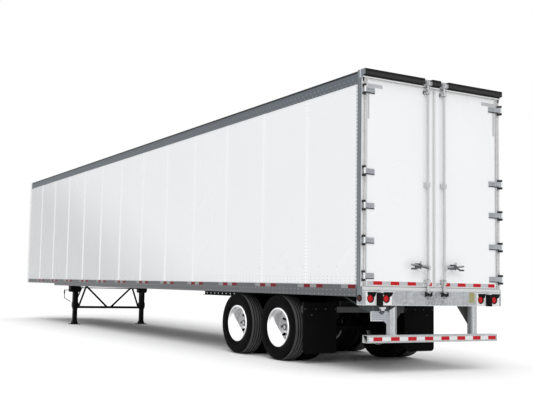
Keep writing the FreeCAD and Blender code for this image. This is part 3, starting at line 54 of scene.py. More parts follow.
hands = (("left", 1), ("right", -1))
postDepth = 0.095  # the folded rear posts, front to back
wallLow = boxOf("side_wall_left")[0]
rearFace = wallLow[0] - postDepth  # rear face of the rear posts
railHigh = boxOf("bottom_rail_left")[1]
sideFace = railHigh[1]  # outer skin of the rails
panelFace = sideFace - 0.0055  # outer face of the side panels
topLow, topHigh = boxOf("top_rail_left")
doorLow, doorHigh = boxOf("door_left")
strapLow, strapHigh = boxOf("hinge_straps_left")
sillLow = boxOf("rear_sill")[0]
guardLow = boxOf("underride_guard")[0]
deckLow = boxOf("floor_deck")[0]
standOff = 0.0002  # small trim starts this far off the face it lies on
wheelPlaces = {}
for place in ("rear", "front"):
    for hand, side in hands:
        low, high = boxOf("tyres_" + place + "_" + hand)
        x, y, z = (low + high) / 2
        wheelPlaces[place + "_" + hand] = {"x": x, "y": y, "z": z, "radius": (high[2] - low[2]) / 2,
                                           "span": high[1] - low[1]}


# mesh helpers; a shape is its points and its faces

def gridFaces(rows, columns, wrapRows=False, wrapColumns=False):
    # quads of a grid: each joins a point with its neighbours along the row and along the column
    r = np.arange(rows if wrapRows else rows - 1)[:, None]
    c = np.arange(columns if wrapColumns else columns - 1)[None, :]
    nextRow, nextColumn = (r + 1) % rows, (c + 1) % columns
    corners = [row * columns + column for row, column in
               ((r, c), (r, nextColumn), (nextRow, nextColumn), (nextRow, c))]
    return np.stack([np.broadcast_to(k, (r.size, c.size)) for k in corners], -1).reshape(-1, 4).tolist()


def makePiece(name, shape, finish, body, angle=None):
    # one mesh object at the origin, its faces turned outwards, riding on a body; smooth if an angle is given
    mesh = bpy.data.meshes.new(name)
    mesh.from_pydata(np.asarray(shape[0], float).tolist(), [], shape[1])
    work = bmesh.new()
    work.from_mesh(mesh)
    bmesh.ops.recalc_face_normals(work, faces=work.faces)
    work.to_mesh(mesh)
    work.free()
    mesh.validate()
    if angle:
        mesh.polygons.foreach_set("use_smooth", np.ones(len(mesh.polygons), bool))
        mesh.set_sharp_from_angle(angle=math.radians(angle))
    piece = bpy.data.objects.new(name, mesh)
    bpy.context.scene.collection.objects.link(piece)
    mesh.materials.append(materials[finish])
    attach(piece, body)
    return piece


def together(shapes):
    # several shapes as one
    starts = np.cumsum([0] + [len(shape[0]) for shape in shapes]).tolist()
    faces = [[k + start for k in face] for start, shape in zip(starts, shapes) for face in shape[1]]
    return np.concatenate([shape[0] for shape in shapes]), faces


def repeated(shape, places, turn):
    # the same small shape, turned, at many places
    points = np.asarray(shape[0], float) @ turn.T
    return together([(points + place, shape[1]) for place in np.asarray(places, float)])


def spotRow(x, y, z):
    # places in a row: each of x, y and z is one number or a run of them
    return np.stack(np.broadcast_arrays(x, y, z), -1).astype(float)


def circle(sides):
    # angles evenly round a full turn
    return np.linspace(0, 2 * math.pi, sides, endpoint=False)


def lathe(profile, sides):
    # surface of revolution about Z: (r cos a, r sin a, h), closed by a pole at both ends of the profile
    r, h = np.array(profile[1:-1], float).T[:, :, None]
    a = circle(sides)
    rings = spotRow(r * np.cos(a), r * np.sin(a), h).reshape(-1, 3)
    faces = gridFaces(len(r), sides, wrapColumns=True)
    for pole, row in ((len(rings), 0), (len(rings) + 1, len(r) - 1)):
        faces += [[pole, row * sides + k, row * sides + (k + 1) % sides] for k in range(sides)]
    return np.concatenate([rings, [(0, 0, profile[0][1]), (0, 0, profile[-1][1])]]), faces


def prism(outline, low, high, axis):
    # an outline carried along one axis and closed at both ends; the outline holds the other two coordinates
    count = len(outline)
    points = np.concatenate([np.insert(np.asarray(outline, float), axis, end, 1) for end in (low, high)])
    faces = gridFaces(2, count, wrapColumns=True)
    return points, faces + [list(range(count))[::-1], [count + k for k in range(count)]]


def plate(length, width, thickness, corner, steps=3):
    # a thin plate lying in XY, its outline a run of four quarter circles
    a = np.concatenate([np.linspace(k * math.pi / 2, (k + 1) * math.pi / 2, steps) for k in range(4)])
    x = np.repeat([1, -1, -1, 1], steps) * (length / 2 - corner) + corner * np.cos(a)
    y = np.repeat([1, 1, -1, -1], steps) * (width / 2 - corner) + corner * np.sin(a)
    return prism(np.stack([x, y], -1), 0, thickness, 2)


def ringAround(centre, radius, thickness, turn, sides=40, sections=10):
    # torus: (R + r cos b)(cos a, sin a), r sin b
    a, b = circle(sides)[:, None], circle(sections)[None, :]
    r = radius + thickness * np.cos(b)
    points = spotRow(r * np.cos(a), r * np.sin(a), thickness * np.sin(b)).reshape(-1, 3)
    return points @ turn.T + centre, gridFaces(sides, sections, True, True)


def boltHead(radius, height):
    # six-sided head with a chamfered top
    return lathe([(0, 0), (radius, 0), (radius, height * 0.75), (radius * 0.8, height), (0, height)], 6)


# matrices that turn a shape made along +Z to face another way
faceRear = np.array([[0, 0, -1], [1, 0, 0], [0, 1, 0]], float)  # local Z to -X, local X to +Y
faceSide = {1: np.array([[1, 0, 0], [0, 0, 1], [0, -1, 0]], float),  # local Z to +Y, local X stays forward
            -1: np.array([[1, 0, 0], [0, 0, -1], [0, 1, 0]], float)}  # local Z to -Y


# shader helpers

class nodeTree:
    # a shader tree with its coordinates: along, across, height, and out, the distance from the middle line

    def __init__(self, tree, coords):
        self.tree, self.coords = tree, coords
        self.along, self.across, self.height = self.add("SeparateXYZ", {0: coords})
        self.out = self.reckon("ABSOLUTE", self.across)

    def give(self, socket, value):
        # joins another node's socket, or sets a plain value; a colour comes without its alpha, which is one
        if isinstance(value, bpy.types.NodeSocket):
            self.tree.links.new(value, socket)
        elif isinstance(value, tuple):
            socket.default_value = value + (1,) * (len(socket.default_value) - len(value))
        else:
            socket.default_value = value

    def add(self, kind, inputs, **settings):
        # one node; hands back its outputs
        node = self.tree.nodes.new("ShaderNode" + kind)
        for key, value in settings.items():
            setattr(node, key, value)
        for key, value in inputs.items():
            self.give(node.inputs[key], value)
        return node.outputs

    def reckon(self, operation, *values, clamp=False):
        return self.add("Math", dict(enumerate(values)), operation=operation, use_clamp=clamp)[0]

    def chain(self, operation, values):
        found = values[0]
        for value in values[1:]:
            found = self.reckon(operation, found, value)
        return found

    def times(self, *values):
        return self.chain("MULTIPLY", values)

    def anyOf(self, *masks):
        return self.chain("MAXIMUM", masks)

    def ramp(self, value, low, high, toLow=0.0, toHigh=1.0, kind="SMOOTHSTEP"):
        inputs = {0: value, 1: low, 2: high, 3: toLow, 4: toHigh}
        return self.add("MapRange", inputs, interpolation_type=kind)[0]

    def even(self, value, low, high, toLow, toHigh):
        return self.ramp(value, low, high, toLow, toHigh, "LINEAR")

    def above(self, value, edge, soft=0.001):
        return self.ramp(value, edge, edge + soft)

    def below(self, value, edge, soft=0.001):
        return self.ramp(value, edge, edge + soft, 1.0, 0.0)

    def band(self, value, low, high):
        # one between low and high, with edges a millimetre soft
        return self.times(self.above(value, low - 0.0005), self.below(value, high - 0.0005))

    def apart(self, value, middle):
        return self.reckon("ABSOLUTE", self.reckon("SUBTRACT", value, middle))

    def distance(self, a, aFrom, b, bFrom):
        # sqrt((a - aFrom)^2 + (b - bFrom)^2)
        gaps = [self.reckon("SUBTRACT", a, aFrom), self.reckon("SUBTRACT", b, bFrom)]
        squares = [self.reckon("POWER", gap, 2.0) for gap in gaps]
        return self.reckon("SQRT", self.reckon("ADD", *squares))

    def mix(self, factor, first, second):
        return self.add("Mix", {0: factor, 6: first, 7: second}, data_type="RGBA")[2]

    def lay(self, colour, *marks):
        # marks, each a mask and its colour, laid over a colour one after another
        for mask, mark in marks:
            colour = self.mix(mask, colour, mark)
        return colour

    def mapped(self, scale):
        return self.add("Mapping", {"Vector": self.coords, "Scale": scale})[0]

    def noise(self, scale, detail=3.0, rough=0.55, vector=None):
        return self.add("TexNoise", {"Vector": vector or self.coords, "Scale": scale, "Detail": detail,
                                     "Roughness": rough})["Fac"]

    def cellEdge(self, scale):
        # distance to the edge of an even grid of cells
        return self.add("TexVoronoi", {"Vector": self.coords, "Scale": scale, "Randomness": 0.0},
                        feature="DISTANCE_TO_EDGE")["Distance"]


def newGroup(name, inputs, outputs, build):
    # a shader group: inputs hold each socket's own value, and build hands back the outputs in their order
    group = bpy.data.node_groups.new(name, "ShaderNodeTree")
    group.interface.new_socket("Vector", in_out="INPUT", socket_type="NodeSocketVector")
    for label, value in inputs.items():
        kind = "NodeSocketColor" if isinstance(value, tuple) else "NodeSocketFloat"
        group.interface.new_socket(label, in_out="INPUT", socket_type=kind).default_value = value
    for label in outputs:
        kind = "NodeSocketColor" if label == "Colour" else "NodeSocketFloat"
        group.interface.new_socket(label, in_out="OUTPUT", socket_type=kind)
    given = group.nodes.new("NodeGroupInput").outputs
    end = group.nodes.new("NodeGroupOutput").inputs
    for label, socket in zip(outputs, build(nodeTree(group, given["Vector"]), given)):
        group.links.new(socket, end[label])
    return group


def roadFilm(t, given):
    # road film: noise gathered low down on the trailer and thinned out with height
    fall = t.add("MapRange", {0: t.height, 1: given["Top"], 2: given["Base"]})[0]
    cloud = t.ramp(t.noise(2.6, 6.0, 0.62), 0.35, 0.75)
    speck = t.ramp(t.noise(38.0, 3.0, 0.6), 0.4, 0.8, 0.35, 1.0)
    mask = t.reckon("MULTIPLY", t.times(fall, cloud, speck), given["Amount"], clamp=True)
    return t.mix(mask, given["Colour"], given["Film"]), mask


def zincSpangle(t, given):
    # zinc crystals: angular cells, each with its own grey, over slow cloudy streaks
    warp = t.add("TexNoise", {"Vector": t.coords, "Scale": 14.0, "Detail": 2.0})["Color"]
    bent = t.add("VectorMath", {0: warp, 1: (0.03, 0.03, 0.03), 2: t.coords}, operation="MULTIPLY_ADD")[0]
    cells = t.add("TexVoronoi", {"Vector": bent, "Scale": given["Scale"], "Exponent": 0.7},
                  distance="MINKOWSKI")
    tone = t.add("SeparateColor", {0: cells["Color"]})
    blend = t.reckon("ADD", t.times(tone[0], 0.55), t.times(t.noise(5.0, 5.0, 0.6), 0.55))
    colour = t.mix(t.ramp(blend, 0.1, 0.95), given["Dark"], given["Light"])
    return colour, t.even(tone[1], 0.0, 1.0, 0.38, 0.62), tone[2]


def drawnLines(t, given):
    # drawn or extruded metal: noise stretched along the trailer, with fine scratches
    lines = t.noise(3.0, 5.0, 0.6, t.mapped((0.35, 60.0, 60.0)))
    tone = t.reckon("ADD", t.times(lines, 0.6), t.times(t.noise(1.7, 4.0, 0.55), 0.4))
    change = t.reckon("ADD", t.times(t.reckon("SUBTRACT", tone, 0.5), given["Depth"]), 1.0)
    shade = t.add("VectorMath", {0: given["Colour"], "Scale": change}, operation="SCALE")[0]
    return shade, t.even(lines, 0.3, 0.7, 0.32, 0.52), lines


def sprayedPaint(t, given):
    # sprayed paint: very fine ripple for the bump, and a slow change of tone
    slow = t.ramp(t.noise(0.6, 1.5, 0.4), 0.1, 0.9)
    colour = t.mix(slow, given["Colour"], given["Shade"])
    return colour, t.even(slow, 0.0, 1.0, 0.24, 0.29), t.noise(given["Ripple"], 2.0, 0.5)


dirtTint = (0.3, 0.28, 0.25)
white = (1, 1, 1, 1)
finishOutputs = ("Colour", "Rough", "Height")
filmGroup = newGroup("roadFilm", {"Colour": white, "Film": white, "Amount": 0.2, "Top": 1.5, "Base": 0.2},
                     ("Colour", "Mask"), roadFilm)
zincGroup = newGroup("zincSpangle", {"Light": white, "Dark": white, "Scale": 45.0}, finishOutputs,
                     zincSpangle)
linesGroup = newGroup("drawnLines", {"Colour": white, "Depth": 0.12}, finishOutputs, drawnLines)
paintGroup = newGroup("sprayedPaint", {"Colour": white, "Shade": white, "Ripple": 220.0}, finishOutputs,
                      sprayedPaint)


class surface(nodeTree):
    # a material: constants on the shader's own sockets, object coordinates, and the shared groups

    def __init__(self, name, constants):
        self.made = bpy.data.materials.new(name)
        self.made.use_nodes = True
        tree = self.made.node_tree
        self.shader = tree.nodes["Principled BSDF"].inputs
        super().__init__(tree, tree.nodes.new("ShaderNodeTexCoord").outputs["Object"])
        for key, value in constants.items():
            self.shader[key].default_value = value

    def group(self, group, inputs):
        return self.add("Group", {"Vector": self.coords, **inputs}, node_tree=group)

    def film(self, colour, amount, top, base, tint=dirtTint):
        return self.group(filmGroup, {"Colour": colour, "Film": tint, "Amount": amount, "Top": top,
                                      "Base": base})

    def zinc(self, light, dark, scale):
        return self.group(zincGroup, {"Light": light, "Dark": dark, "Scale": scale})

    def paint(self, colour, shade, ripple=220.0):
        return self.group(paintGroup, {"Colour": colour, "Shade": shade, "Ripple": ripple})

    def done(self, colour, rough, bump=None):
        # joins colour, roughness and the bump (its height, strength and distance) to the shader
        self.give(self.shader["Base Color"], colour)
        self.give(self.shader["Roughness"], rough)
        if bump:
            normal = self.add("Bump", dict(zip(("Height", "Strength", "Distance"), bump)))["Normal"]
            self.give(self.shader["Normal"], normal)
        return self.made


# materials

def paintMaterial(name, colour, shade):
    # sprayed paint under a road film that grows towards the ground
    s = surface(name, {"Coat Weight": 0.25, "Coat Roughness": 0.08})
    paint = s.paint(colour, shade)
    dirt = s.film(paint["Colour"], 0.1, 1.6, 0.6, (0.34, 0.32, 0.29))
    rough = s.reckon("ADD", paint["Rough"], s.times(dirt["Mask"], 0.5), clamp=True)
    return s.done(dirt["Colour"], rough, (paint["Height"], 0.04, 0.0006))


def metalMaterial(name, colour, metallic, depth, amount=0.0, darkAbove=None):
    # extruded aluminium with lines along the trailer and some film, darkened above one height
    s = surface(name, {"Metallic": metallic})
    lines = s.group(linesGroup, {"Colour": colour, "Depth": depth})
    finished = s.film(lines["Colour"], amount, 1.6, 0.6)["Colour"]
    if darkAbove:
        finished = s.mix(s.above(s.height, darkAbove, 0.0005), finished, (0.012, 0.013, 0.015))
    return s.done(finished, lines["Rough"], (lines["Height"], 0.08, 0.0005))


def darkMaterial(name, colour, dust, rough, grainScale=160.0, grainDepth=0.15, amount=0.3, coat=0.0):
    # dark paint or rubber with a thin pale dust
    s = surface(name, {"Coat Weight": coat, "Specular IOR Level": 0.08})
    grain = s.noise(grainScale, 4.0, 0.6)
    return s.done(s.film(colour, amount, 1.6, 0.0, dust)["Colour"],
                  s.even(grain, 0.3, 0.7, rough - 0.1, rough + 0.12), (grain, grainDepth, 0.001))


def zincMaterial(name, light, dark, marks=None, scale=45.0, metallic=0.35):
    # hot-dip galvanized steel; marks lays a part's own marks, and its painted highlights and painted shade,
    # over its colour
    s = surface(name, {"Metallic": metallic})
    zinc = s.zinc(light, dark, scale)
    colour = marks(s, zinc["Colour"]) if marks else zinc["Colour"]
    return s.done(s.film(colour, 0.25, 1.5, 0.4)["Colour"], zinc["Rough"], (zinc["Height"], 0.06, 0.0005))


black = (0.012, 0.012, 0.013)
# painted highlight, laid along lit arrises and edges
paintedHighlight = (0.8, 0.82, 0.83)
sideShade = (0.2, 0.225, 0.245)
outerSkin = sideFace - 0.0035  # from here out, the rear frame shows its darker side
postLook = {"fold": (1.248, 1.256), "arris": (rearFace - 0.002, rearFace + 0.008),
            "arrisOut": sideFace - 0.012, "buttFace": rearFace - 0.0075}


def postMarks(s, colour):
    # brushed darker outer side, a painted highlight on the arris, a grey painted shade line down the fold of
    # the pale rear face, and hinge butts painted black as painted shade
    k = postLook
    streak = s.noise(2.0, 4.0, 0.6, s.mapped((60.0, 1.0, 0.6)))
    side = s.mix(s.ramp(streak, 0.3, 0.7), (0.14, 0.155, 0.17), (0.24, 0.265, 0.285))
    return s.lay(colour, (s.band(s.out, *k["fold"]), (0.3, 0.31, 0.325)), (s.above(s.out, outerSkin), side),
                 (s.times(s.above(s.out, k["arrisOut"]), s.band(s.along, *k["arris"])), paintedHighlight),
                 (s.below(s.along, k["buttFace"]), black))


sillLook = {"end": 1.2865, "endLow": 0.968, "bandLow": 1.108, "ledge": (1.093, 1.1), "ledgeOut": 0.7,
            "lip": 0.916, "joint": (0.528, 0.533), "pocketFace": rearFace - 0.014, "pocket": (0.922, 1.082),
            "stainOut": (0.14, 0.2), "stainTop": 1.11, "keeperFace": rearFace - 0.026, "keeperTop": 1.098}


def sillMarks(s, colour):
    # darker ends, a pale band along the top, painted highlights on the arrises over the pockets and along the
    # bottom, one joint line each side, painted shade in black inside the lamp pockets, stains around the rod
    # keepers, and keeper cheeks painted black below their top as painted shade, with black flecks above
    k = sillLook
    cloud = s.ramp(s.noise(24.0, 4.0, 0.65), 0.42, 0.62)
    stain = s.times(cloud, s.ramp(s.out, *k["stainOut"], 0.75, 0.0), s.below(s.height, k["stainTop"], 0.02))
    ledge = s.times(s.band(s.height, *k["ledge"]), s.above(s.out, k["ledgeOut"], 0.02))
    end = s.times(s.above(s.out, k["end"], 0.0005), s.above(s.height, k["endLow"], 0.004))
    fleck = s.ramp(s.noise(62.0, 2.0, 0.5), 0.5, 0.56)
    # painted shade: the keeper cheeks are black below their top; the flecks above are real marks
    keeperShadeAndFlecks = s.times(s.below(s.along, k["keeperFace"]), s.anyOf(fleck, s.below(s.height, k["keeperTop"])))
    # painted shade: black inside the lamp pockets
    pocketShade = s.times(s.above(s.along, k["pocketFace"]), s.band(s.height, *k["pocket"]),
                     s.below(s.out, k["end"] - 0.003))
    return s.lay(colour, (stain, (0.16, 0.165, 0.18)), (s.band(s.out, *k["joint"]), (0.25, 0.255, 0.27)),
                 (s.above(s.height, k["bandLow"], 0.016), (0.66, 0.665, 0.67)),
                 (s.anyOf(ledge, s.below(s.height, k["lip"])), paintedHighlight), (end, sideShade), (keeperShadeAndFlecks, black),
                 (pocketShade, black))


guardLook = {"gussetOut": 0.6872, "tubeTop": 0.5195, "fold": (0.724, 0.736), "openEnd": 1.2,
             "tube": (0.4125, 0.506), "tubeInside": rearFace - 0.0175, "endSlope": 1.2,
             "shadeSlope": -0.5, "shadeBase": 1.252}


def guardMarks(s, colour):
    # black gussets, a painted highlight down the fold of each post and a shaded inner part, a painted shadow
    # of the sill over the top of the left post; inside the open ends of the tube a painted lit patch in white,
    # and painted shade in black above the line z = top - slope (end - |y|)
    k = guardLook
    upright = s.above(s.height, k["tubeTop"])
    # painted shadow of the sill on the left post: black above this line
    shadeLine = s.reckon("MULTIPLY_ADD", s.across, k["shadeSlope"], k["shadeBase"])
    reach = s.reckon("SUBTRACT", k["openEnd"], s.out)
    slant = s.reckon("SUBTRACT", k["tube"][1], s.times(reach, k["endSlope"]))
    # the tube's open ends: white inside as painted light, black above the slant as painted shade
    bore = s.times(s.above(s.along, k["tubeInside"], 0.0005), s.band(s.height, *k["tube"]),
                   s.above(reach, 0.0002))
    dark = s.anyOf(s.times(upright, s.below(s.out, k["gussetOut"], 0.0004)),
                   s.times(upright, s.reckon("GREATER_THAN", s.height, shadeLine)),
                   s.times(bore, s.reckon("GREATER_THAN", s.height, slant)))
    return s.lay(colour, (s.times(upright, s.below(s.out, k["fold"][0] - 0.0005)), (0.27, 0.28, 0.295)),
                 (s.times(upright, s.band(s.out, *k["fold"])), paintedHighlight), (bore, (0.97, 0.97, 0.97)),
                 (dark, black))


plateLook = {"panelTop": 0.832, "notchY": 0.939, "notchZ": 0.84, "notchRadius": 0.052, "quilt": 17.0,
             "leftEdge": 1.117, "lowEdge": 0.706, "lowFrom": 0.93}


def plateMarks(s, colour):
    # a diamond quilt pressed into the panel, sin(q (y + z)) sin(q (y - z)); painted highlights on its edge and
    # lip, dark arms and notch
    k = plateLook
    turns = 2.0 * math.pi * k["quilt"]
    slants = [s.reckon(sign, s.across, s.height) for sign in ("ADD", "SUBTRACT")]
    waves = [s.reckon("SINE", s.times(slant, turns)) for slant in slants]
    low = s.times(s.below(s.height, k["lowEdge"]), s.above(s.across, k["lowFrom"]))
    notch = s.below(s.distance(s.across, k["notchY"], s.height, k["notchZ"]), k["notchRadius"])
    return s.lay(colour, (s.ramp(s.times(*waves), -0.7, 0.7), (0.5, 0.52, 0.56)),
                 (s.anyOf(s.above(s.across, k["leftEdge"]), low), paintedHighlight), (notch, (0.075, 0.08, 0.095)),
                 (s.above(s.height, k["panelTop"]), (0.05, 0.056, 0.06)))


strapLook = {"half": 0.04, "shares": (0.0, 0.188, 0.3735, 0.558, 1.0), "shade": 0.012, "light": 1.268,
             "arm": 1.248}
strapHeights = [strapLow[2] + strapLook["half"] + share * (strapHigh[2] - strapLow[2] - 2 * strapLook["half"])
                for share in strapLook["shares"]]


def strapMarks(s, colour):
    # painted shade on the lower flange of each strap, and a painted highlight on the knuckle at the post
    k = strapLook
    flanges = [s.band(s.height, h - k["half"] - 0.001, h - k["half"] + k["shade"]) for h in strapHeights]
    knuckle = s.times(s.above(s.out, k["light"]), s.below(s.along, rearFace - 0.034, 0.002))
    return s.lay(colour, (s.times(s.anyOf(*flanges), s.below(s.out, k["arm"])), black), (knuckle, paintedHighlight))


rodLook = {"place": 0.152, "clamp": 0.0195, "handle": (1.405, 1.535), "foot": 1.084, "chain": (1.1, 1.272),
           "head": (3.89, 3.974), "splitSlope": 0.1, "splitBase": 1.422, "hub": 0.326, "loopLow": 1.492}


def rodMaterial():
    # zinc lock rods; dark cast handles with a painted highlight on their upper half and loop, cams painted
    # black at the foot as painted shade, speckled guides
    s = surface("lockRods", {"Metallic": 0.3})
    k = rodLook
    zinc = s.zinc((0.6, 0.61, 0.615), (0.5, 0.51, 0.52), 90.0)
    fromRod = s.apart(s.out, k["place"])
    lever = s.times(s.band(s.height, *k["handle"]), s.above(fromRod, k["clamp"]))
    blotch = s.noise(55.0, 4.0, 0.6)
    split = s.reckon("SUBTRACT", s.height, s.reckon("MULTIPLY_ADD", s.out, k["splitSlope"], k["splitBase"]))
    # painted highlight: each handle is painted lighter on its upper half, off the hub, and on its loop
    upper = s.times(s.above(split, 0.0, 0.006), s.above(s.apart(s.out, k["hub"]), 0.028, 0.004))
    handleHighlight = s.anyOf(s.times(upper, 0.6), s.above(s.height, k["loopLow"], 0.003))
    iron = s.lay((0.075, 0.08, 0.085), (handleHighlight, (0.5, 0.51, 0.52)),
                 (s.ramp(blotch, 0.5, 0.65, 0.0, 0.35), (0.22, 0.225, 0.23)))
    guides = s.times(s.above(fromRod, k["clamp"] - 0.003, 0.003),
                     s.anyOf(s.band(s.height, *k["chain"]), s.band(s.height, *k["head"])))
    fleck = s.ramp(s.noise(62.0, 2.0, 0.5), 0.53, 0.6)
    # painted shade: the cams are painted black below the foot height
    colour = s.lay(zinc["Colour"], (s.times(guides, fleck), (0.05, 0.053, 0.058)), (lever, iron),
                   (s.below(s.height, k["foot"]), black))
    return s.done(colour, zinc["Rough"], (blotch, 0.1, 0.0008))


headerLook = {"bareHalf": 0.06, "canopyLow": 4.017, "canopyMiddle": 4.07,
              "lines": ((0.028, 0.05), (-0.081, -0.07))}


def headerMaterial():
    # black cover over the header, bare zinc at the keepers, white face below, brushed ends with light lines
    s = surface("headerTwoTone", {"Specular IOR Level": 0.2})
    k = headerLook
    zinc = s.zinc((0.62, 0.63, 0.64), (0.42, 0.43, 0.45), 45.0)
    paint = s.paint((0.02, 0.02, 0.021), (0.034, 0.033, 0.033))
    bare = s.below(s.apart(s.out, rodLook["place"]), k["bareHalf"], 0.002)
    face = s.times(s.below(s.height, k["canopyLow"]), s.reckon("SUBTRACT", 1.0, bare))
    lines = s.anyOf(*[s.band(s.along, rearFace + a, rearFace + b) for a, b in k["lines"]])
    colour = s.lay(paint["Colour"], (s.above(s.height, k["canopyMiddle"], 0.02), (0.006, 0.006, 0.0065)),
                   (bare, zinc["Colour"]), (face, (0.93, 0.935, 0.94)),
                   (s.above(s.out, outerSkin), s.mix(lines, sideShade, (0.6, 0.62, 0.65))))
    s.give(s.shader["Metallic"], s.times(bare, 0.35))
    return s.done(colour, s.reckon("ADD", paint["Rough"], 0.2), (paint["Height"], 0.08, 0.0008))


def plankMaterial():
    # oiled hardwood strips with the grain along the trailer, undercoated black
    s = surface("hardwoodFloor", {})
    cells = s.add("TexVoronoi", {"Vector": s.mapped((0.5, 30.0, 1.0)), "Scale": 1.0, "Randomness": 0.3},
                  distance="CHEBYCHEV")
    grain = s.noise(4.0, 8.0, 0.65, s.mapped((1.2, 26.0, 26.0)))
    tone = s.add("SeparateColor", {0: cells["Color"]})[0]
    colour = s.lay((0.36, 0.2, 0.09), (tone, (0.5, 0.31, 0.16)),
                   (s.ramp(grain, 0.35, 0.75), (0.2, 0.1, 0.045)),
                   (s.below(s.height, deckLow[2] + 0.004), (0.012, 0.012, 0.012)))
    return s.done(colour, s.even(grain, 0.3, 0.7, 0.45, 0.7), (grain, 0.2, 0.001))


lampShape = {"radius": 0.055, "ring": 0.0045, "inner": 0.877, "outer": 1.148, "height": 1.002,
             "markerRadius": 0.04, "markerRing": 0.008, "markerPlace": rearFace + 0.038,
             "markerFace": sideFace - 0.0085, "markerFrom": 1.238}


def lensMaterial():
    # clear red lens with a moulded grid of small prisms, darker towards its rim; the side markers are dark
    s = surface("redLens", {"Coat Weight": 0.1, "Coat Roughness": 0.03, "Specular IOR Level": 0.15})
    ridge = s.ramp(s.cellEdge(110.0), 0.0, 0.35)
    nearest = s.reckon("MINIMUM", *[s.distance(s.out, lampShape[k], s.height, lampShape["height"])
                                    for k in ("inner", "outer")])
    colour = s.lay((0.42, 0.003, 0.005), (ridge, (0.6, 0.006, 0.009)),
                   (s.ramp(nearest, 0.036, 0.052), (0.16, 0.005, 0.007)),
                   (s.above(s.out, lampShape["markerFrom"], 0.002), (0.07, 0.012, 0.014)))
    return s.done(colour, s.even(ridge, 0.0, 1.0, 0.35, 0.22), (ridge, 0.4, 0.001))


def tapeMaterial(name, light, dark):
    # retroreflective tape: a fine cell pattern under a clear film
    s = surface(name, {"Coat Weight": 0.05, "Specular IOR Level": 0.15})
    edge = s.ramp(s.cellEdge(130.0), 0.0, 0.12)
    worn = s.ramp(s.noise(9.0, 4.0, 0.6), 0.45, 0.75, 0.0, 0.35)
    mask = s.anyOf(s.reckon("SUBTRACT", 1.0, edge), worn)
    return s.done(s.mix(mask, light, dark), s.even(edge, 0.0, 1.0, 0.45, 0.3), (edge, 0.1, 0.0004))


# the treads of the outer tyres are painted lighter as if lit; the inner ones stay dark as painted shade
tyreLook = {"litTreadFrom": 0.985, "ribDepth": 0.0085}  # |y| where the outer tyres start, and their worn depth


def tyreMaterial(name, spot):
    # tyre rubber: near black on the sidewall and in the grooves; the ribs of an outer tread worn grey and
    # painted lighter as if lit, those of an inner tread kept dark as painted shade
    s = surface(name, {"Specular IOR Level": 0.04})
    away = s.distance(s.along, spot["x"], s.height, spot["z"])
    grain = s.noise(210.0, 4.0, 0.6)
    cloud = s.noise(6.0, 5.0, 0.6)
    side = s.mix(s.ramp(cloud, 0.35, 0.7), (0.0022, 0.0022, 0.0024), (0.0038, 0.0038, 0.0042))
    worn = s.mix(s.ramp(cloud, 0.3, 0.7), (0.085, 0.085, 0.088), (0.1, 0.099, 0.098))
    # outer tyres only: the inner ones keep the dark colour as painted shade
    outer = s.ramp(s.out, tyreLook["litTreadFrom"], tyreLook["litTreadFrom"] + 0.001, 0.06, 1.0)
    base = s.mix(s.times(s.above(away, spot["radius"] - tyreLook["ribDepth"], 0.002), outer), side, worn)
    return s.done(s.film(base, 0.15, 0.9, 0.0, (0.02, 0.019, 0.018))["Colour"],
                  s.even(grain, 0.3, 0.7, 0.5, 0.72), (grain, 0.25, 0.0008))


wheelLook = {"hubRing": (0.026, 0.056), "drumEdge": 0.236, "drumFace": 0.955}


def wheelMaterial(name, spot):
    # white disc wheel, a dark ring on its hub cap and a dark brake drum, told apart by distance from the axle
    s = surface(name, {"Coat Weight": 0.3, "Coat Roughness": 0.1})
    away = s.distance(s.along, spot["x"], s.height, spot["z"])
    dark = s.anyOf(s.band(away, *wheelLook["hubRing"]), s.times(s.below(s.out, wheelLook["drumFace"], 0.004),
                                                                s.below(away, wheelLook["drumEdge"], 0.002)))
    paint = s.paint((0.52, 0.52, 0.53), (0.48, 0.48, 0.49))
    cast = s.mix(s.noise(40.0), (0.03, 0.03, 0.032), (0.07, 0.07, 0.072))
    rough = s.reckon("ADD", paint["Rough"], s.times(dark, 0.2), clamp=True)
    return s.done(s.mix(dark, s.film(paint["Colour"], 0.35, 1.0, 0.1)["Colour"], cast), rough,
                  (paint["Height"], 0.05, 0.0006))


def bogieMaterial():
    # black sliding frame whose mud-flap bar, behind the rails, is bare grey
    s = surface("bogieTwoTone", {"Specular IOR Level": 0.2})
    grain = s.noise(160.0, 4.0, 0.6)
    bar = s.below(s.along, rearFace + 1.42, 0.0005)
    base = s.mix(bar, (0.004, 0.004, 0.0045), (0.095, 0.097, 0.1))
    return s.done(s.film(base, 0.3, 1.6, 0.0, (0.06, 0.056, 0.052))["Colour"],
                  s.even(grain, 0.3, 0.7, 0.42, 0.62), (grain, 0.15, 0.001))


def labelMaterial():
    # bare ochre label
    s = surface("ochreLabel", {"Coat Weight": 0.4})
    cloud = s.noise(60.0, 4.0, 0.6)
    return s.done(s.mix(cloud, (0.25, 0.235, 0.09), (0.35, 0.33, 0.15)), s.even(cloud, 0.2, 0.8, 0.4, 0.6))


# slope, film and amount: how the painted shade slants with height, the run along the trailer over which it
# grows in, and its strongest share
wallLook = {"slope": -2.6, "film": (rearFace, rearFace + 6.5), "amount": 0.52, "strip": panelFace + 0.0008,
            "rearEdge": wallLow[0] + 0.034}


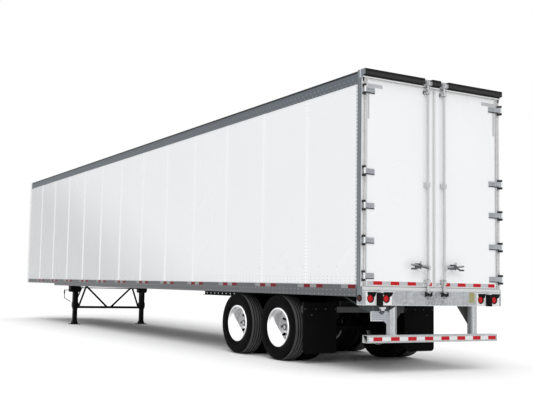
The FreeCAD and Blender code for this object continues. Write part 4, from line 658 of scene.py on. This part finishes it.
def wallMaterial():
    # painted shade that darkens the sheets low down and towards the front, splice strips whiter than the
    # sheets, a grey strip at the rear, and a thin road film low down
    s = surface("wallSkin", {"Coat Weight": 0.3, "Coat Roughness": 0.06})
    k = wallLook
    paint = s.paint((0.85, 0.862, 0.88), (0.87, 0.88, 0.895), 260.0)
    # painted shade: it grows in along the trailer, sooner low down
    ahead = s.reckon("MULTIPLY_ADD", s.height, k["slope"], s.along)
    colour = s.lay(paint["Colour"], (s.ramp(ahead, *k["film"], 0.0, k["amount"]), (0.46, 0.465, 0.475)),
                   (s.above(s.out, k["strip"], 0.0004), (0.93, 0.935, 0.945)),
                   (s.below(s.along, k["rearEdge"]), (0.5, 0.515, 0.54)))
    return s.done(s.film(colour, 0.12, 1.9, 1.0, (0.5, 0.49, 0.47))["Colour"], paint["Rough"],
                  (paint["Height"], 0.04, 0.0006))


materials = {
    "wall": wallMaterial(),
    "door": paintMaterial("doorSkin", (0.87, 0.88, 0.89), (0.83, 0.84, 0.85)),
    "nose": paintMaterial("noseSkin", (0.85, 0.85, 0.86), (0.82, 0.82, 0.83)),
    "rivets_": paintMaterial("rivetGrey", (0.33, 0.34, 0.36), (0.27, 0.28, 0.3)),
    "edge_rivets_": paintMaterial("rivetWhite", (0.9, 0.9, 0.91), (0.86, 0.86, 0.87)),
    "rail_rivets_": paintMaterial("rivetMill", (0.48, 0.49, 0.51), (0.4, 0.41, 0.43)),
    "rail": metalMaterial("railMill", (0.105, 0.11, 0.118), 0.15, 0.35, 0.2),
    "topRail": metalMaterial("railBlueGrey", (0.12, 0.138, 0.16), 0.2, 0.3, darkAbove=topHigh[2] - 0.03),
    "roof": metalMaterial("roofSheetMill", (0.7, 0.71, 0.73), 0.6, 0.2),
    "pin": metalMaterial("turnedSteel", (0.4, 0.4, 0.42), 0.8, 0.3),
    "cast": metalMaterial("castCouplings", (0.45, 0.45, 0.46), 0.5, 0.4),
    "zinc": zincMaterial("zincPlain", (0.5, 0.52, 0.54), (0.33, 0.345, 0.365)),
    "zincSill": zincMaterial("zincSill", (0.5, 0.515, 0.535), (0.36, 0.375, 0.395), sillMarks, 30.0),
    "zincPost": zincMaterial("zincPosts", (0.72, 0.705, 0.71), (0.56, 0.55, 0.555), postMarks),
    "zincGuard": zincMaterial("zincGuard", (0.56, 0.575, 0.59), (0.42, 0.435, 0.455), guardMarks),
    "zincPlate": zincMaterial("zincPlate", (0.34, 0.36, 0.4), (0.27, 0.29, 0.33), plateMarks),
    "zincPale": zincMaterial("zincPale", (0.84, 0.83, 0.835), (0.7, 0.69, 0.7), metallic=0.1),
    "hinges": zincMaterial("zincStraps", (0.46, 0.48, 0.505), (0.3, 0.315, 0.34), strapMarks, 110.0),
    "rods": rodMaterial(),
    "header": headerMaterial(),
    "planks": plankMaterial(),
    "bogie": bogieMaterial(),
    "lens": lensMaterial(),
    "label": labelMaterial(),
    "black": darkMaterial("runningGearBlack", (0.004, 0.004, 0.0045), (0.014, 0.0135, 0.013), 0.6),
    "legs": darkMaterial("legBlack", (0.004, 0.004, 0.0045), (0.02, 0.019, 0.018), 0.5),
    "beams": darkMaterial("beamBlack", (0.006, 0.006, 0.0065), (0.03, 0.028, 0.026), 0.65),
    "tank": darkMaterial("tankBlack", (0.008, 0.008, 0.009), (0.06, 0.056, 0.052), 0.35, coat=0.2),
    "rubber": darkMaterial("blockRubber", (0.006, 0.006, 0.006), (0.04, 0.038, 0.036), 0.7, 220.0, 0.35),
    "flap": darkMaterial("flapRubber", (0.0025, 0.0025, 0.0028), (0.008, 0.0078, 0.0075), 0.75, 240.0, 0.3,
                         0.2),
    "crank": darkMaterial("crankSteel", (0.03, 0.03, 0.031), (0.08, 0.078, 0.075), 0.45),
    "seal": darkMaterial("sealGrey", (0.64, 0.645, 0.645), (0.45, 0.45, 0.45), 0.6, 180.0, 0.2, 0.2),
    "brace": darkMaterial("braceGrey", (0.055, 0.062, 0.064), (0.08, 0.08, 0.078), 0.6),
    "boltGrey": darkMaterial("boltGrey", (0.1, 0.1, 0.102), (0.1, 0.1, 0.1), 0.5),
    "darkBolt": darkMaterial("darkBolts", (0.03, 0.032, 0.035), (0.05, 0.05, 0.05), 0.5),
    "tapeRed": tapeMaterial("tapeRed", (0.53, 0.006, 0.013), (0.36, 0.005, 0.01)),
    "tapeSideRed": tapeMaterial("tapeSideRed", (0.24, 0.007, 0.013), (0.17, 0.005, 0.01)),
    "tapeSideWhite": tapeMaterial("tapeSideWhite", (0.34, 0.345, 0.355), (0.28, 0.285, 0.295)),
    "tapeWhite": tapeMaterial("tapeWhite", (0.74, 0.75, 0.76), (0.6, 0.61, 0.63)),
    "tapeGrey": tapeMaterial("tapeGrey", (0.5, 0.51, 0.53), (0.4, 0.41, 0.43)),
}
nodeFinish = {
    "wall": "side_wall_left side_wall_right", "nose": "front_wall", "door": "door_left door_right",
    "rail": "bottom_rail_left bottom_rail_right", "topRail": "top_rail_left top_rail_right",
    "roof": "roof_sheet roof_bows", "planks": "floor_deck", "beams": "cross_members coupler_plate",
    "zincPost": "rear_post_left rear_post_right", "zincSill": "rear_sill", "header": "rear_header",
    "zincGuard": "underride_guard", "zincPlate": "plate_bracket", "pin": "kingpin", "crank": "landing_crank",
    "hinges": "hinge_straps_left hinge_straps_right", "rods": "lock_rod_left lock_rod_right",
    "rubber": "dock_block_left dock_block_right air_springs", "lens": "tail_lamps", "flap": "mud_flaps",
    "cast": "nose_fittings",
    "legs": "landing_leg_left landing_leg_right landing_braces", "bogie": "bogie_frame", "tank": "air_tank",
    "black": "slider_rails trailing_arms axles brake_gear",
}
for place, spot in wheelPlaces.items():
    materials["tyre_" + place] = tyreMaterial("tyreRubber_" + place, spot)
    materials["wheel_" + place] = wheelMaterial("wheelWhite_" + place, spot)
    nodeFinish["wheel_" + place] = "wheel_" + place
print("materials made:", len(materials))
for finish, names in nodeFinish.items():
    for name in names.split():
        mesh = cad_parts[name].data
        mesh.materials.clear()
        mesh.materials.append(materials[finish])
print("frame nodes finished")


# tyres with their tread

tyreShape = {"halfWidth": 0.137, "spacing": 0.1715, "bead": 0.2868, "beadHalf": 0.1045, "waist": 0.395,
             "crownDrop": 0.006, "crownEdge": 0.112, "grooves": np.array((-0.066, -0.024, 0.024, 0.066)),
             "grooveHalf": 0.008, "grooveLip": 0.0015, "grooveDepth": 0.013, "around": 160}


def tyreSurface(spot, offset):
    # section: a nearly flat crown with its grooves taken off, then on each side a rounded shoulder, its drop
    # as (1 - cos)^0.9 and its reach as sin^0.8, a wall that draws in as fall^1.8, and the bead
    s = tyreShape
    half, edge = s["grooveHalf"], s["crownEdge"]
    sides = [s["grooves"] + step for step in (-half - s["grooveLip"], -half, half, half + s["grooveLip"])]
    crownY = np.unique(np.concatenate([np.linspace(-edge, edge, 15)] + sides))
    inGroove = np.min(np.abs(crownY[:, None] - s["grooves"]), 1) <= half + 1e-6
    crownR = spot["radius"] - s["crownDrop"] * (crownY / edge) ** 2 - inGroove * s["grooveDepth"]
    lift = np.linspace(0, 1, 9)[1:] * math.pi / 2
    fall = np.linspace(0, 1, 8)[1:]
    shoulder = spot["radius"] - s["crownDrop"]
    halfY = np.concatenate([edge + (s["halfWidth"] - edge) * np.sin(lift) ** 0.8,
                            s["halfWidth"] - (s["halfWidth"] - s["beadHalf"]) * fall ** 1.8,
                            [s["beadHalf"] - 0.001, s["beadHalf"] - 0.006]])
    halfR = np.concatenate([shoulder - (shoulder - s["waist"]) * (1 - np.cos(lift)) ** 0.9,
                            s["waist"] + (s["bead"] + 0.012 - s["waist"]) * fall,
                            [s["bead"] + 0.002, s["bead"]]])
    y = np.concatenate([-halfY[::-1], crownY, halfY])
    r = np.concatenate([halfR[::-1], crownR, halfR])
    a = circle(s["around"])[:, None]
    points = spotRow(spot["x"] + r * np.sin(a), spot["y"] + offset + y, spot["z"] - r * np.cos(a))
    return points.reshape(-1, 3), gridFaces(s["around"], len(y), True, True)


for place, spot in wheelPlaces.items():
    pair = together([tyreSurface(spot, offset) for offset in (-tyreShape["spacing"], tyreShape["spacing"])])
    tyre = makePiece("treads_" + place, pair, "tyre_" + place, "wheels_" + place, 28)
    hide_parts("tyres_" + place)
print("tyres made")


# rivets on the walls and rails

# radius, height and sides of each kind of head
rivetSizes = {"rivets_": (0.0062, 0.0026, 6), "edge_rivets_": (0.011, 0.003, 8),
              "rail_rivets_": (0.0075, 0.003, 6)}
rivetRows = {"jointPitch": 1.2226, "firstJoint": 1.29, "joints": 12, "columnOffset": 0.031, "pitch": 0.0508,
             "panelLow": 1.196, "panelHigh": 3.91, "railPitch": 0.1016, "stripProud": 0.002,
             "jointClear": 0.06, "railRows": ((3.944, 0.0), (4.0, 0.0508), (1.045, 0.0), (1.108, 0.0)),
             "panelRows": (1.2, 1.245, 1.29), "upperRow": 1.43, "edgePitch": 0.054, "edgePlace": 0.018}
jointPlaces = [rivetRows["firstJoint"] + n * rivetRows["jointPitch"] for n in range(rivetRows["joints"])]


def rivetHead(radius, height, sides):
    # low dome in two steps from its rim to its pole
    return lathe([(0, 0), (radius, 0), (radius * 0.72, height * 0.75), (0, height)], sides)


def rivetPlaces():
    # two columns at each joint of the skin, close rows low on the panels clear of the joints, a sparse row
    # over them; a column at the rear post; and the rows on both rails, given by height and shift
    r = rivetRows
    z = np.arange(r["panelLow"], r["panelHigh"], r["pitch"])
    x = np.arange(rearFace + postDepth + 0.05, railHigh[0] - 0.03, r["railPitch"])
    half = r["jointPitch"] / 2
    clear = x[np.abs((x - rearFace - r["firstJoint"] + half) % r["jointPitch"] - half) >= r["jointClear"]]
    panel = [spotRow(rearFace + joint + offset, panelFace + r["stripProud"], z) for joint in jointPlaces
             for offset in (-r["columnOffset"], r["columnOffset"])]
    panel += [spotRow(clear, panelFace, height) for height in r["panelRows"]]
    panel.append(spotRow(x[::4], panelFace, r["upperRow"]))
    heights = np.arange(railHigh[2] + 0.02, topLow[2] - 0.01, r["edgePitch"])
    edge = spotRow(wallLow[0] + r["edgePlace"], panelFace, heights)
    rail = [spotRow(x + shift, sideFace, height) for height, shift in r["railRows"]]
    return {"rivets_": np.concatenate(panel), "edge_rivets_": edge, "rail_rivets_": np.concatenate(rail)}


for hand, side in hands:
    for name, spots in rivetPlaces().items():
        heads = repeated(rivetHead(*rivetSizes[name]), spots * [1, side, 1], faceSide[side])
        makePiece(name + hand, heads, name, "van", 60)
print("rivets made")


# conspicuity tape

tapeShape = {"width": 0.051, "block": 0.1524, "thickness": 0.0006, "corner": 0.003,
             "sideHeight": 1.157, "doorHeight": 1.209, "guardHeight": 0.459, "rearSet": 0.238,
             "red": (-0.04, -0.354), "white": (0.117, -0.197)}


def tapeStrip(length, width=tapeShape["width"]):
    return plate(length, width, tapeShape["thickness"], tapeShape["corner"])


for hand, side in hands:
    # on the rail by each joint of the skin: red, white, red and a white tail; half a set at the rear post
    for shade in ("red", "white"):
        x = [rearFace + joint + offset for joint in [tapeShape["rearSet"]] + jointPlaces
             for offset in tapeShape[shade][:1 if joint < 1.0 else 2]]
        spots = spotRow(x, side * (sideFace + standOff), tapeShape["sideHeight"])
        strips = repeated(tapeStrip(tapeShape["block"]), spots, faceSide[side])
        makePiece("tape_" + shade + "_" + hand, strips, "tapeSide" + shade.capitalize(), "van")


def rearTape(reds, low, high, x, z, gap=None):
    # one run across the rear: the red blocks and the white lengths between them, cut away over the gap
    half = tapeShape["block"] / 2
    gap = gap or (high, high)
    edges = [low] + [c + end for c in sorted(reds) for end in (-half, half)] + [high]
    redSpans = [(max(a, low), min(b, high)) for a, b in zip(edges[1::2], edges[2::2])]
    whiteSpans = [(a, b) for a, b in zip(edges[::2], edges[1::2]) if b - a > 0.01]
    runs = []
    for spans in (redSpans, whiteSpans):
        cut = [part for a, b in spans for part in ((a, min(b, gap[0])), (max(a, gap[1]), b))]
        runs.append(together([repeated(tapeStrip(b - a), [(x - standOff, (a + b) / 2, z)], faceRear)
                              for a, b in cut if b - a > 0.008]))
    return runs


doorTape = {"first": {1: 1.005, -1: 1.13}, "pitch": 0.3, "count": 4, "gapHalf": 0.05, "inner": 0.022,
            "outer": 0.03}
for hand, side in hands:
    d = doorTape
    ends = sorted([side * (doorLow[1] + d["inner"]), side * (doorHigh[1] - d["outer"])])
    gap = sorted([side * (rodLook["place"] - d["gapHalf"]), side * (rodLook["place"] + d["gapHalf"])])
    reds = [side * (d["first"][side] - d["pitch"] * n) for n in range(d["count"])]
    red, pale = rearTape(reds, *ends, doorLow[0], tapeShape["doorHeight"], gap)
    makePiece("door_tape_red_" + hand, red, "tapeRed", "rear_door_" + hand)
    makePiece("door_tape_white_" + hand, pale, "tapeGrey", "rear_door_" + hand)
guardTape = {"first": 1.022, "pitch": 0.3023, "count": 8, "end": 1.172}
reds = [guardTape["first"] - guardTape["pitch"] * n for n in range(guardTape["count"])]
red, pale = rearTape(reds, -guardTape["end"], guardTape["end"], guardLow[0], tapeShape["guardHeight"])
makePiece("guard_tape_red", red, "tapeRed", "van")
makePiece("guard_tape_white", pale, "tapeWhite", "van")

# inverted L of reflective tape at the top corner of each door: length, width, y and z of its two strips
cornerTape = ((0.2795, tapeShape["width"], 1.07475, 3.905), (tapeShape["width"], 0.435, 1.189, 3.6575))
for hand, side in hands:
    strips = [repeated(tapeStrip(length, width), [(doorLow[0] - standOff, side * y, z)], faceRear)
              for length, width, y, z in cornerTape]
    makePiece("corner_tape_" + hand, together(strips), "tapeGrey", "rear_door_" + hand)
print("tape made")


# door seals

sealShape = {"width": 0.022, "seamWidth": 0.032, "proud": 0.007, "drop": 0.0045, "rise": 0.0035,
             "seamStart": 0.0025, "spare": 0.0005, "set": 0.001}


def sealLoop(side):
    # a lip carried round the rear edge of the door: half an ellipse on a flat back, with square corners
    s = sealShape
    y0, y1 = s["seamStart"], doorHigh[1] + s["spare"]
    z0, z1 = doorLow[2] - s["drop"], doorHigh[2] + s["rise"]
    corners = np.array([(y0, z0), (y1, z0), (y1, z1), (y0, z1)])
    seam = s["seamWidth"] / s["width"]
    inward = np.array([(seam, 1), (-1, 1), (-1, -1), (seam, -1)], float)
    t = np.linspace(0, math.pi, 7)
    across = s["width"] * (0.5 - 0.5 * np.cos(np.append(t, [math.pi, 0.0])))
    depth = np.append(-s["proud"] * np.sin(t), [s["set"], s["set"]])
    ring = corners[:, None, :] + inward[:, None, :] * across[None, :, None]
    points = spotRow(doorLow[0] + depth, side * ring[..., 0], ring[..., 1])
    return points.reshape(-1, 3), gridFaces(4, len(across), True, True)


for hand, side in hands:
    makePiece("door_seal_" + hand, sealLoop(side), "seal", "rear_door_" + hand, 50)
print("seals made")


# lamp plates, black pads painted as the pockets' shadow, grommets, and the bare label on the sill

sillFace = rearFace - 0.02
plateTrim = {"left": 0.082, "right": 0.098, "low": 0.084, "high": 0.09, "hole": 0.0545,
             "front": sillFace - 0.0015, "back": sillFace - 0.0001, "shadowPadBack": sillFace - 0.0016,
             "shadowPadFront": sillFace - 0.0028}
shadowPadReach = {0.877: 0.12, 1.148: 0.104, -0.877: 0.104, -1.148: 0.12}  # each lamp, and how far its pad runs


def lampPlate(centre):
    # plate with a round hole: each ray leaves the hole's edge and ends on the rectangle, at the nearer side
    t = plateTrim
    corners = [math.atan2(v, u) for u in (t["right"], -t["left"]) for v in (t["high"], -t["low"])]
    a = np.unique(np.concatenate([np.linspace(-math.pi, math.pi, 48, endpoint=False), corners]))
    u, v = np.cos(a), np.sin(a)
    outer = np.minimum(np.where(u > 0, t["right"], t["left"]) / np.maximum(np.abs(u), 1e-9),
                       np.where(v > 0, t["high"], t["low"]) / np.maximum(np.abs(v), 1e-9))
    loops = [(t["back"], outer), (t["front"], outer), (t["front"], t["hole"]), (t["back"], t["hole"])]
    points = np.concatenate([spotRow(x, centre - u * r, lampShape["height"] + v * r) for x, r in loops])
    return points, gridFaces(4, a.size, True, True)


def lampShadowPad(centre):
    # black pad above and beside a lamp, hollowed along the lamp's rim: a painted shadow of the pocket's upper
    # and side lips
    reach = shadowPadReach[centre]
    a = np.radians(np.linspace(18, 128, 12))
    arc = np.stack([np.cos(a), np.sin(a)], -1) * (plateTrim["hole"] + 0.001)
    upper = [(-0.052, 0.088), (reach, 0.088), (reach * 0.8, 0.04), (0.062, 0.02)]
    outline = np.concatenate([upper, arc, [(-0.052, 0.05)]]) * [-1, 1] + [centre, lampShape["height"]]
    return prism(outline, plateTrim["shadowPadBack"], plateTrim["shadowPadFront"], 0)


makePiece("lamp_plates", together([lampPlate(c) for c in shadowPadReach]), "zincPale", "van")
# black pads: a painted shadow inside each lamp pocket
makePiece("lamp_shadow_pads", together([lampShadowPad(c) for c in shadowPadReach]), "rubber", "van")
m = lampShape
rims = [ringAround((sillFace - 0.002, y, m["height"]), m["radius"], m["ring"], faceRear) for y in shadowPadReach]
rims += [ringAround((m["markerPlace"], side * m["markerFace"], m["height"]), m["markerRadius"],
                    m["markerRing"], faceSide[side]) for side in (1, -1)]
makePiece("lamp_grommets", together(rims), "rubber", "van", 60)
labelShape = {"width": 0.104, "height": 0.146, "thickness": 0.0006, "corner": 0.003}
labelPlace = (sillLow[0] + 0.06 - standOff, -0.7, 1.033)
label = repeated(plate(*labelShape.values()), [labelPlace], faceRear)
makePiece("sill_label", label, "label", "van")
print("lamp trim made")


# small parts at the rear: sill braces, plate lamp, rod bolts, handle straps, black post wedges, flap bolts

smallParts = {"brace": (rearFace + 0.005, rearFace + 0.009), "sideBrace": 0.004,
              "lampBack": rearFace + 0.005 - standOff, "lampUpper": rearFace - 0.032,
              "lampLower": rearFace - 0.026, "bolt": (0.0085, 0.006), "guides": (1.238, 2.603858, 3.932),
              "boltOut": 0.034, "boltRise": 0.017, "guideRing": (0.022, 0.0035), "rodRing": (0.0175, 0.0035),
              "ringDrop": 0.008, "ringFace": rearFace - 0.003, "rodLine": rearFace - 0.043,
              "strap": (rearFace - 0.0735, rearFace - 0.067), "cover": (rearFace - 0.005, rearFace - standOff),
              "flapBolt": (0.011, 0.006), "flapFace": rearFace + 1.361 - standOff,
              "flapBolts": ((1.245, 0.809), (1.051, 0.81), (0.874, 0.81), (0.689, 0.811), (1.124, 0.721))}
p = smallParts
braceOutline = [(1.285, 0.9094), (1.155, 0.815), (0.812, 0.815), (0.812, 0.9094)]
makePiece("sill_brace", prism(braceOutline, *p["brace"], 0), "brace", "van")
gusset = np.array([(0.38, 1.285, 1.0215), (0.02, 1.285, 0.9085), (0.009, 1.155, 0.815)]) + [rearFace, 0, 0]
normal = np.cross(gusset[1] - gusset[0], gusset[2] - gusset[0])
normal *= p["sideBrace"] / np.linalg.norm(normal)
gussetFaces = gridFaces(2, 3, wrapColumns=True) + [[2, 1, 0], [3, 4, 5]]
gussetPoints = np.concatenate([gusset - normal, gusset])
makePiece("side_brace", (gussetPoints, gussetFaces), "brace", "van")
lampUpper = [(0.99, 0.887), (0.894, 0.887), (0.902, 0.864), (0.982, 0.864)]
lampLower = [(0.974, 0.859), (0.908, 0.859), (0.912, 0.84), (0.966, 0.84)]
lampParts = [prism(lampUpper, p["lampUpper"], p["lampBack"], 0),
             prism(lampLower, p["lampLower"], p["lampBack"], 0)]
makePiece("plate_lamp", together(lampParts), "zincPale", "van")
strapOutline = np.array([(0.172, 1.416), (0.172, 1.478), (0.235, 1.474), (0.296, 1.468), (0.296, 1.444),
                         (0.235, 1.426)])
# a black wedge at the top of each post, under the header
coverOutline = np.array([(1.291, 4.0035), (1.262, 4.0035), (1.268, 3.948), (1.279, 3.948)])
for hand, side in hands:
    rod = side * rodLook["place"]
    low, top = p["guides"][0], p["guides"][-1]
    both = (rod - p["boltOut"], rod + p["boltOut"])
    spots = [(rearFace - standOff, y, z + rise) for z in p["guides"] for y in both
             for rise in (-p["boltRise"], p["boltRise"])]
    parts = [repeated(boltHead(*p["bolt"]), spots, faceRear)]
    parts += [ringAround((p["ringFace"], y, top - p["ringDrop"]), *p["guideRing"], faceRear, 24, 8)
              for y in both]
    parts += [ringAround((p["rodLine"], rod, z), *p["rodRing"], np.eye(3), 24, 8)
              for z in (low + p["boltOut"], top - p["boltOut"])]
    makePiece("rod_bolts_" + hand, together(parts), "darkBolt", "rear_door_" + hand, 40)
    strap = prism(strapOutline * [side, 1], *p["strap"], 0)
    makePiece("handle_strap_" + hand, strap, "zinc", "rear_door_" + hand)
    cover = prism(coverOutline * [side, 1], *p["cover"], 0)
    makePiece("post_cover_" + hand, cover, "rubber", "van")
flapSpots = [(p["flapFace"], side * y, z) for side in (1, -1) for y, z in p["flapBolts"]]
flapHeads = repeated(boltHead(*p["flapBolt"]), flapSpots, faceRear)
makePiece("flap_bolts", flapHeads, "boltGrey", "bogie")
print("small rear parts made")


# landing gear cases and crank grip

legShape = {"place": rearFace + 12.478, "centre": 0.966, "caseHalf": 0.086, "left": (0.845, 1.13),
            "right": (-1.07, -0.845), "low": 0.856, "shoulder": 0.886, "high": 1.018, "collarHalf": 0.073,
            "collar": (0.458, 0.585)}
c = legShape
caseSteps = ((-1, "high"), (-1, "shoulder"), (-0.5, "low"), (0.5, "low"), (1, "shoulder"), (1, "high"))
caseOutline = [(c["place"] + share * c["caseHalf"], c[level]) for share, level in caseSteps]
square = np.array([(-1, -1), (1, -1), (1, 1), (-1, 1)], float)
gear = [prism(caseOutline, *c[hand], 1) for hand, side in hands]
gear += [prism(square * c["collarHalf"] + [c["place"], side * c["centre"]], *c["collar"], 2)
         for hand, side in hands]
makePiece("leg_cases", together(gear), "legs", "van")
gripShape = {"top": 0.914, "low": 0.79, "out": 1.272, "sides": 14,
             "radii": (0.006, 0.014, 0.017, 0.0175, 0.0175, 0.017, 0.014, 0.006)}
g = gripShape
count = len(g["radii"])
r, a = np.array(g["radii"])[:, None], circle(g["sides"])
gripHeights = np.linspace(g["top"], g["low"], count)[:, None]
gripPoints = spotRow(c["place"] + r * np.cos(a), g["out"] - r * np.sin(a), gripHeights).reshape(-1, 3)
gripFaces = gridFaces(count, g["sides"], wrapColumns=True)
gripFaces += [list(range(g["sides"])), [count * g["sides"] - 1 - k for k in range(g["sides"])]]
makePiece("crank_grip", (gripPoints, gripFaces), "legs", "van", 50)
print("landing gear trim made")


# floor, lights and camera

studio = {"floorHalf": 90.0, "floorColour": (0.95, 0.95, 0.95), "floorRough": 0.9, "worldStrength": 0.6}


def linked(name, data):
    made = bpy.data.objects.new(name, data)
    bpy.context.scene.collection.objects.link(made)
    return made


def makeStudio():
    mesh = bpy.data.meshes.new("studioFloor")
    mesh.from_pydata((np.insert(square, 2, 0, 1) * studio["floorHalf"]).tolist(), [], [[0, 1, 2, 3]])
    floor = linked("studioFloor", mesh)
    matt = surface("studioFloor", {"Specular IOR Level": 0.1})
    mesh.materials.append(matt.done(studio["floorColour"], studio["floorRough"]))
    world = bpy.data.worlds.new("studioWorld")
    bpy.context.scene.world = world
    world.use_nodes = True
    tree = world.node_tree
    back = tree.nodes["Background"]
    path = tree.nodes.new("ShaderNodeLightPath").outputs
    seen = tree.nodes.new("ShaderNodeMath")
    seen.operation = "MAXIMUM"
    tree.links.new(path["Is Camera Ray"], seen.inputs[0])
    tree.links.new(path["Is Transmission Ray"], seen.inputs[1])
    back.inputs["Color"].default_value = white
    strength = tree.nodes.new("ShaderNodeMapRange")
    strength.inputs[3].default_value = studio["worldStrength"]
    tree.links.new(seen.outputs[0], strength.inputs[0])
    tree.links.new(strength.outputs[0], back.inputs["Strength"])


def addLight(name, kind, towards, place=(0.0, 0.0, 0.0), **settings):
    # a light that shines along towards
    data = bpy.data.lights.new(name, kind)
    for key, value in settings.items():
        setattr(data, key, value)
    lamp = linked(name, data)
    lamp.location = place
    lamp.rotation_euler = Vector(towards).to_track_quat("-Z", "Y").to_euler()
    return lamp


# each sun: its run, its strength and its angle in degrees; the beam's reach is at the wheel
lighting = {"suns": (("keySun", (0.607, -0.422, -0.671), 1.0, 35.0), ("topSun", (0.0, 0.0, -1.0), 1.1, 70.0)),
            "beam": (0.62, -0.36, -0.68), "beamDistance": 14.0, "beamReach": 0.32, "beamPower": 24000.0,
            "beamBlend": 0.35, "beamSize": 0.06}
makeStudio()
for name, towards, strength, angle in lighting["suns"]:
    addLight(name, "SUN", towards, energy=strength, angle=math.radians(angle))
beamRun = Vector(lighting["beam"]).normalized() * lighting["beamDistance"]
beamAngle = 2 * math.atan(lighting["beamReach"] / lighting["beamDistance"])
litWheels = bpy.data.collections.new("litWheels")
for place in ("rear_left", "front_left"):
    # a narrow beam on each left wheel, which lights nothing but these two wheels
    litWheels.objects.link(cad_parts["wheel_" + place])
    spot = wheelPlaces[place]
    target = Vector((spot["x"], spot["y"] + spot["span"] / 2, spot["z"]))
    beam = addLight("wheelBeam_" + place, "SPOT", beamRun, target - beamRun, energy=lighting["beamPower"],
                    spot_size=beamAngle, spot_blend=lighting["beamBlend"],
                    shadow_soft_size=lighting["beamSize"])
    beam.light_linking.receiver_collection = litWheels
bpy.context.scene.view_settings.view_transform = "Standard"

# the photograph's viewing angle, worked out from the trailer's edges
cameraFit = {"ahead": -8.786, "left": 8.292, "up": 1.149, "pitch": 4.765, "roll": 1.25, "yaw": -27.874,
             "focal": 825.4, "moveX": -60.0, "moveY": 15.0, "imageWidth": 533.0, "sensor": 36.0}


def makeCamera():
    fit = cameraFit
    pitch, roll, yaw = (math.radians(fit[k]) for k in ("pitch", "roll", "yaw"))
    ahead = Vector((math.cos(pitch) * math.cos(yaw), math.cos(pitch) * math.sin(yaw), math.sin(pitch)))
    right = Vector((math.sin(yaw), -math.cos(yaw), 0.0))
    up = right.cross(ahead)
    turnedRight = right * math.cos(roll) + up * math.sin(roll)
    turnedUp = up * math.cos(roll) - right * math.sin(roll)
    data = bpy.data.cameras.new("photoCamera")
    data.sensor_width = fit["sensor"]
    data.lens = fit["focal"] / fit["imageWidth"] * fit["sensor"]
    data.shift_x = -fit["moveX"] / fit["imageWidth"]
    data.shift_y = fit["moveY"] / fit["imageWidth"]
    data.clip_end = 300.0
    camera = linked("photoCamera", data)
    turn = Matrix((turnedRight, turnedUp, -ahead)).transposed().to_4x4()
    camera.matrix_world = Matrix.Translation((rearFace + fit["ahead"], fit["left"], fit["up"])) @ turn
    bpy.context.scene.camera = camera


makeCamera()
print("studio made")
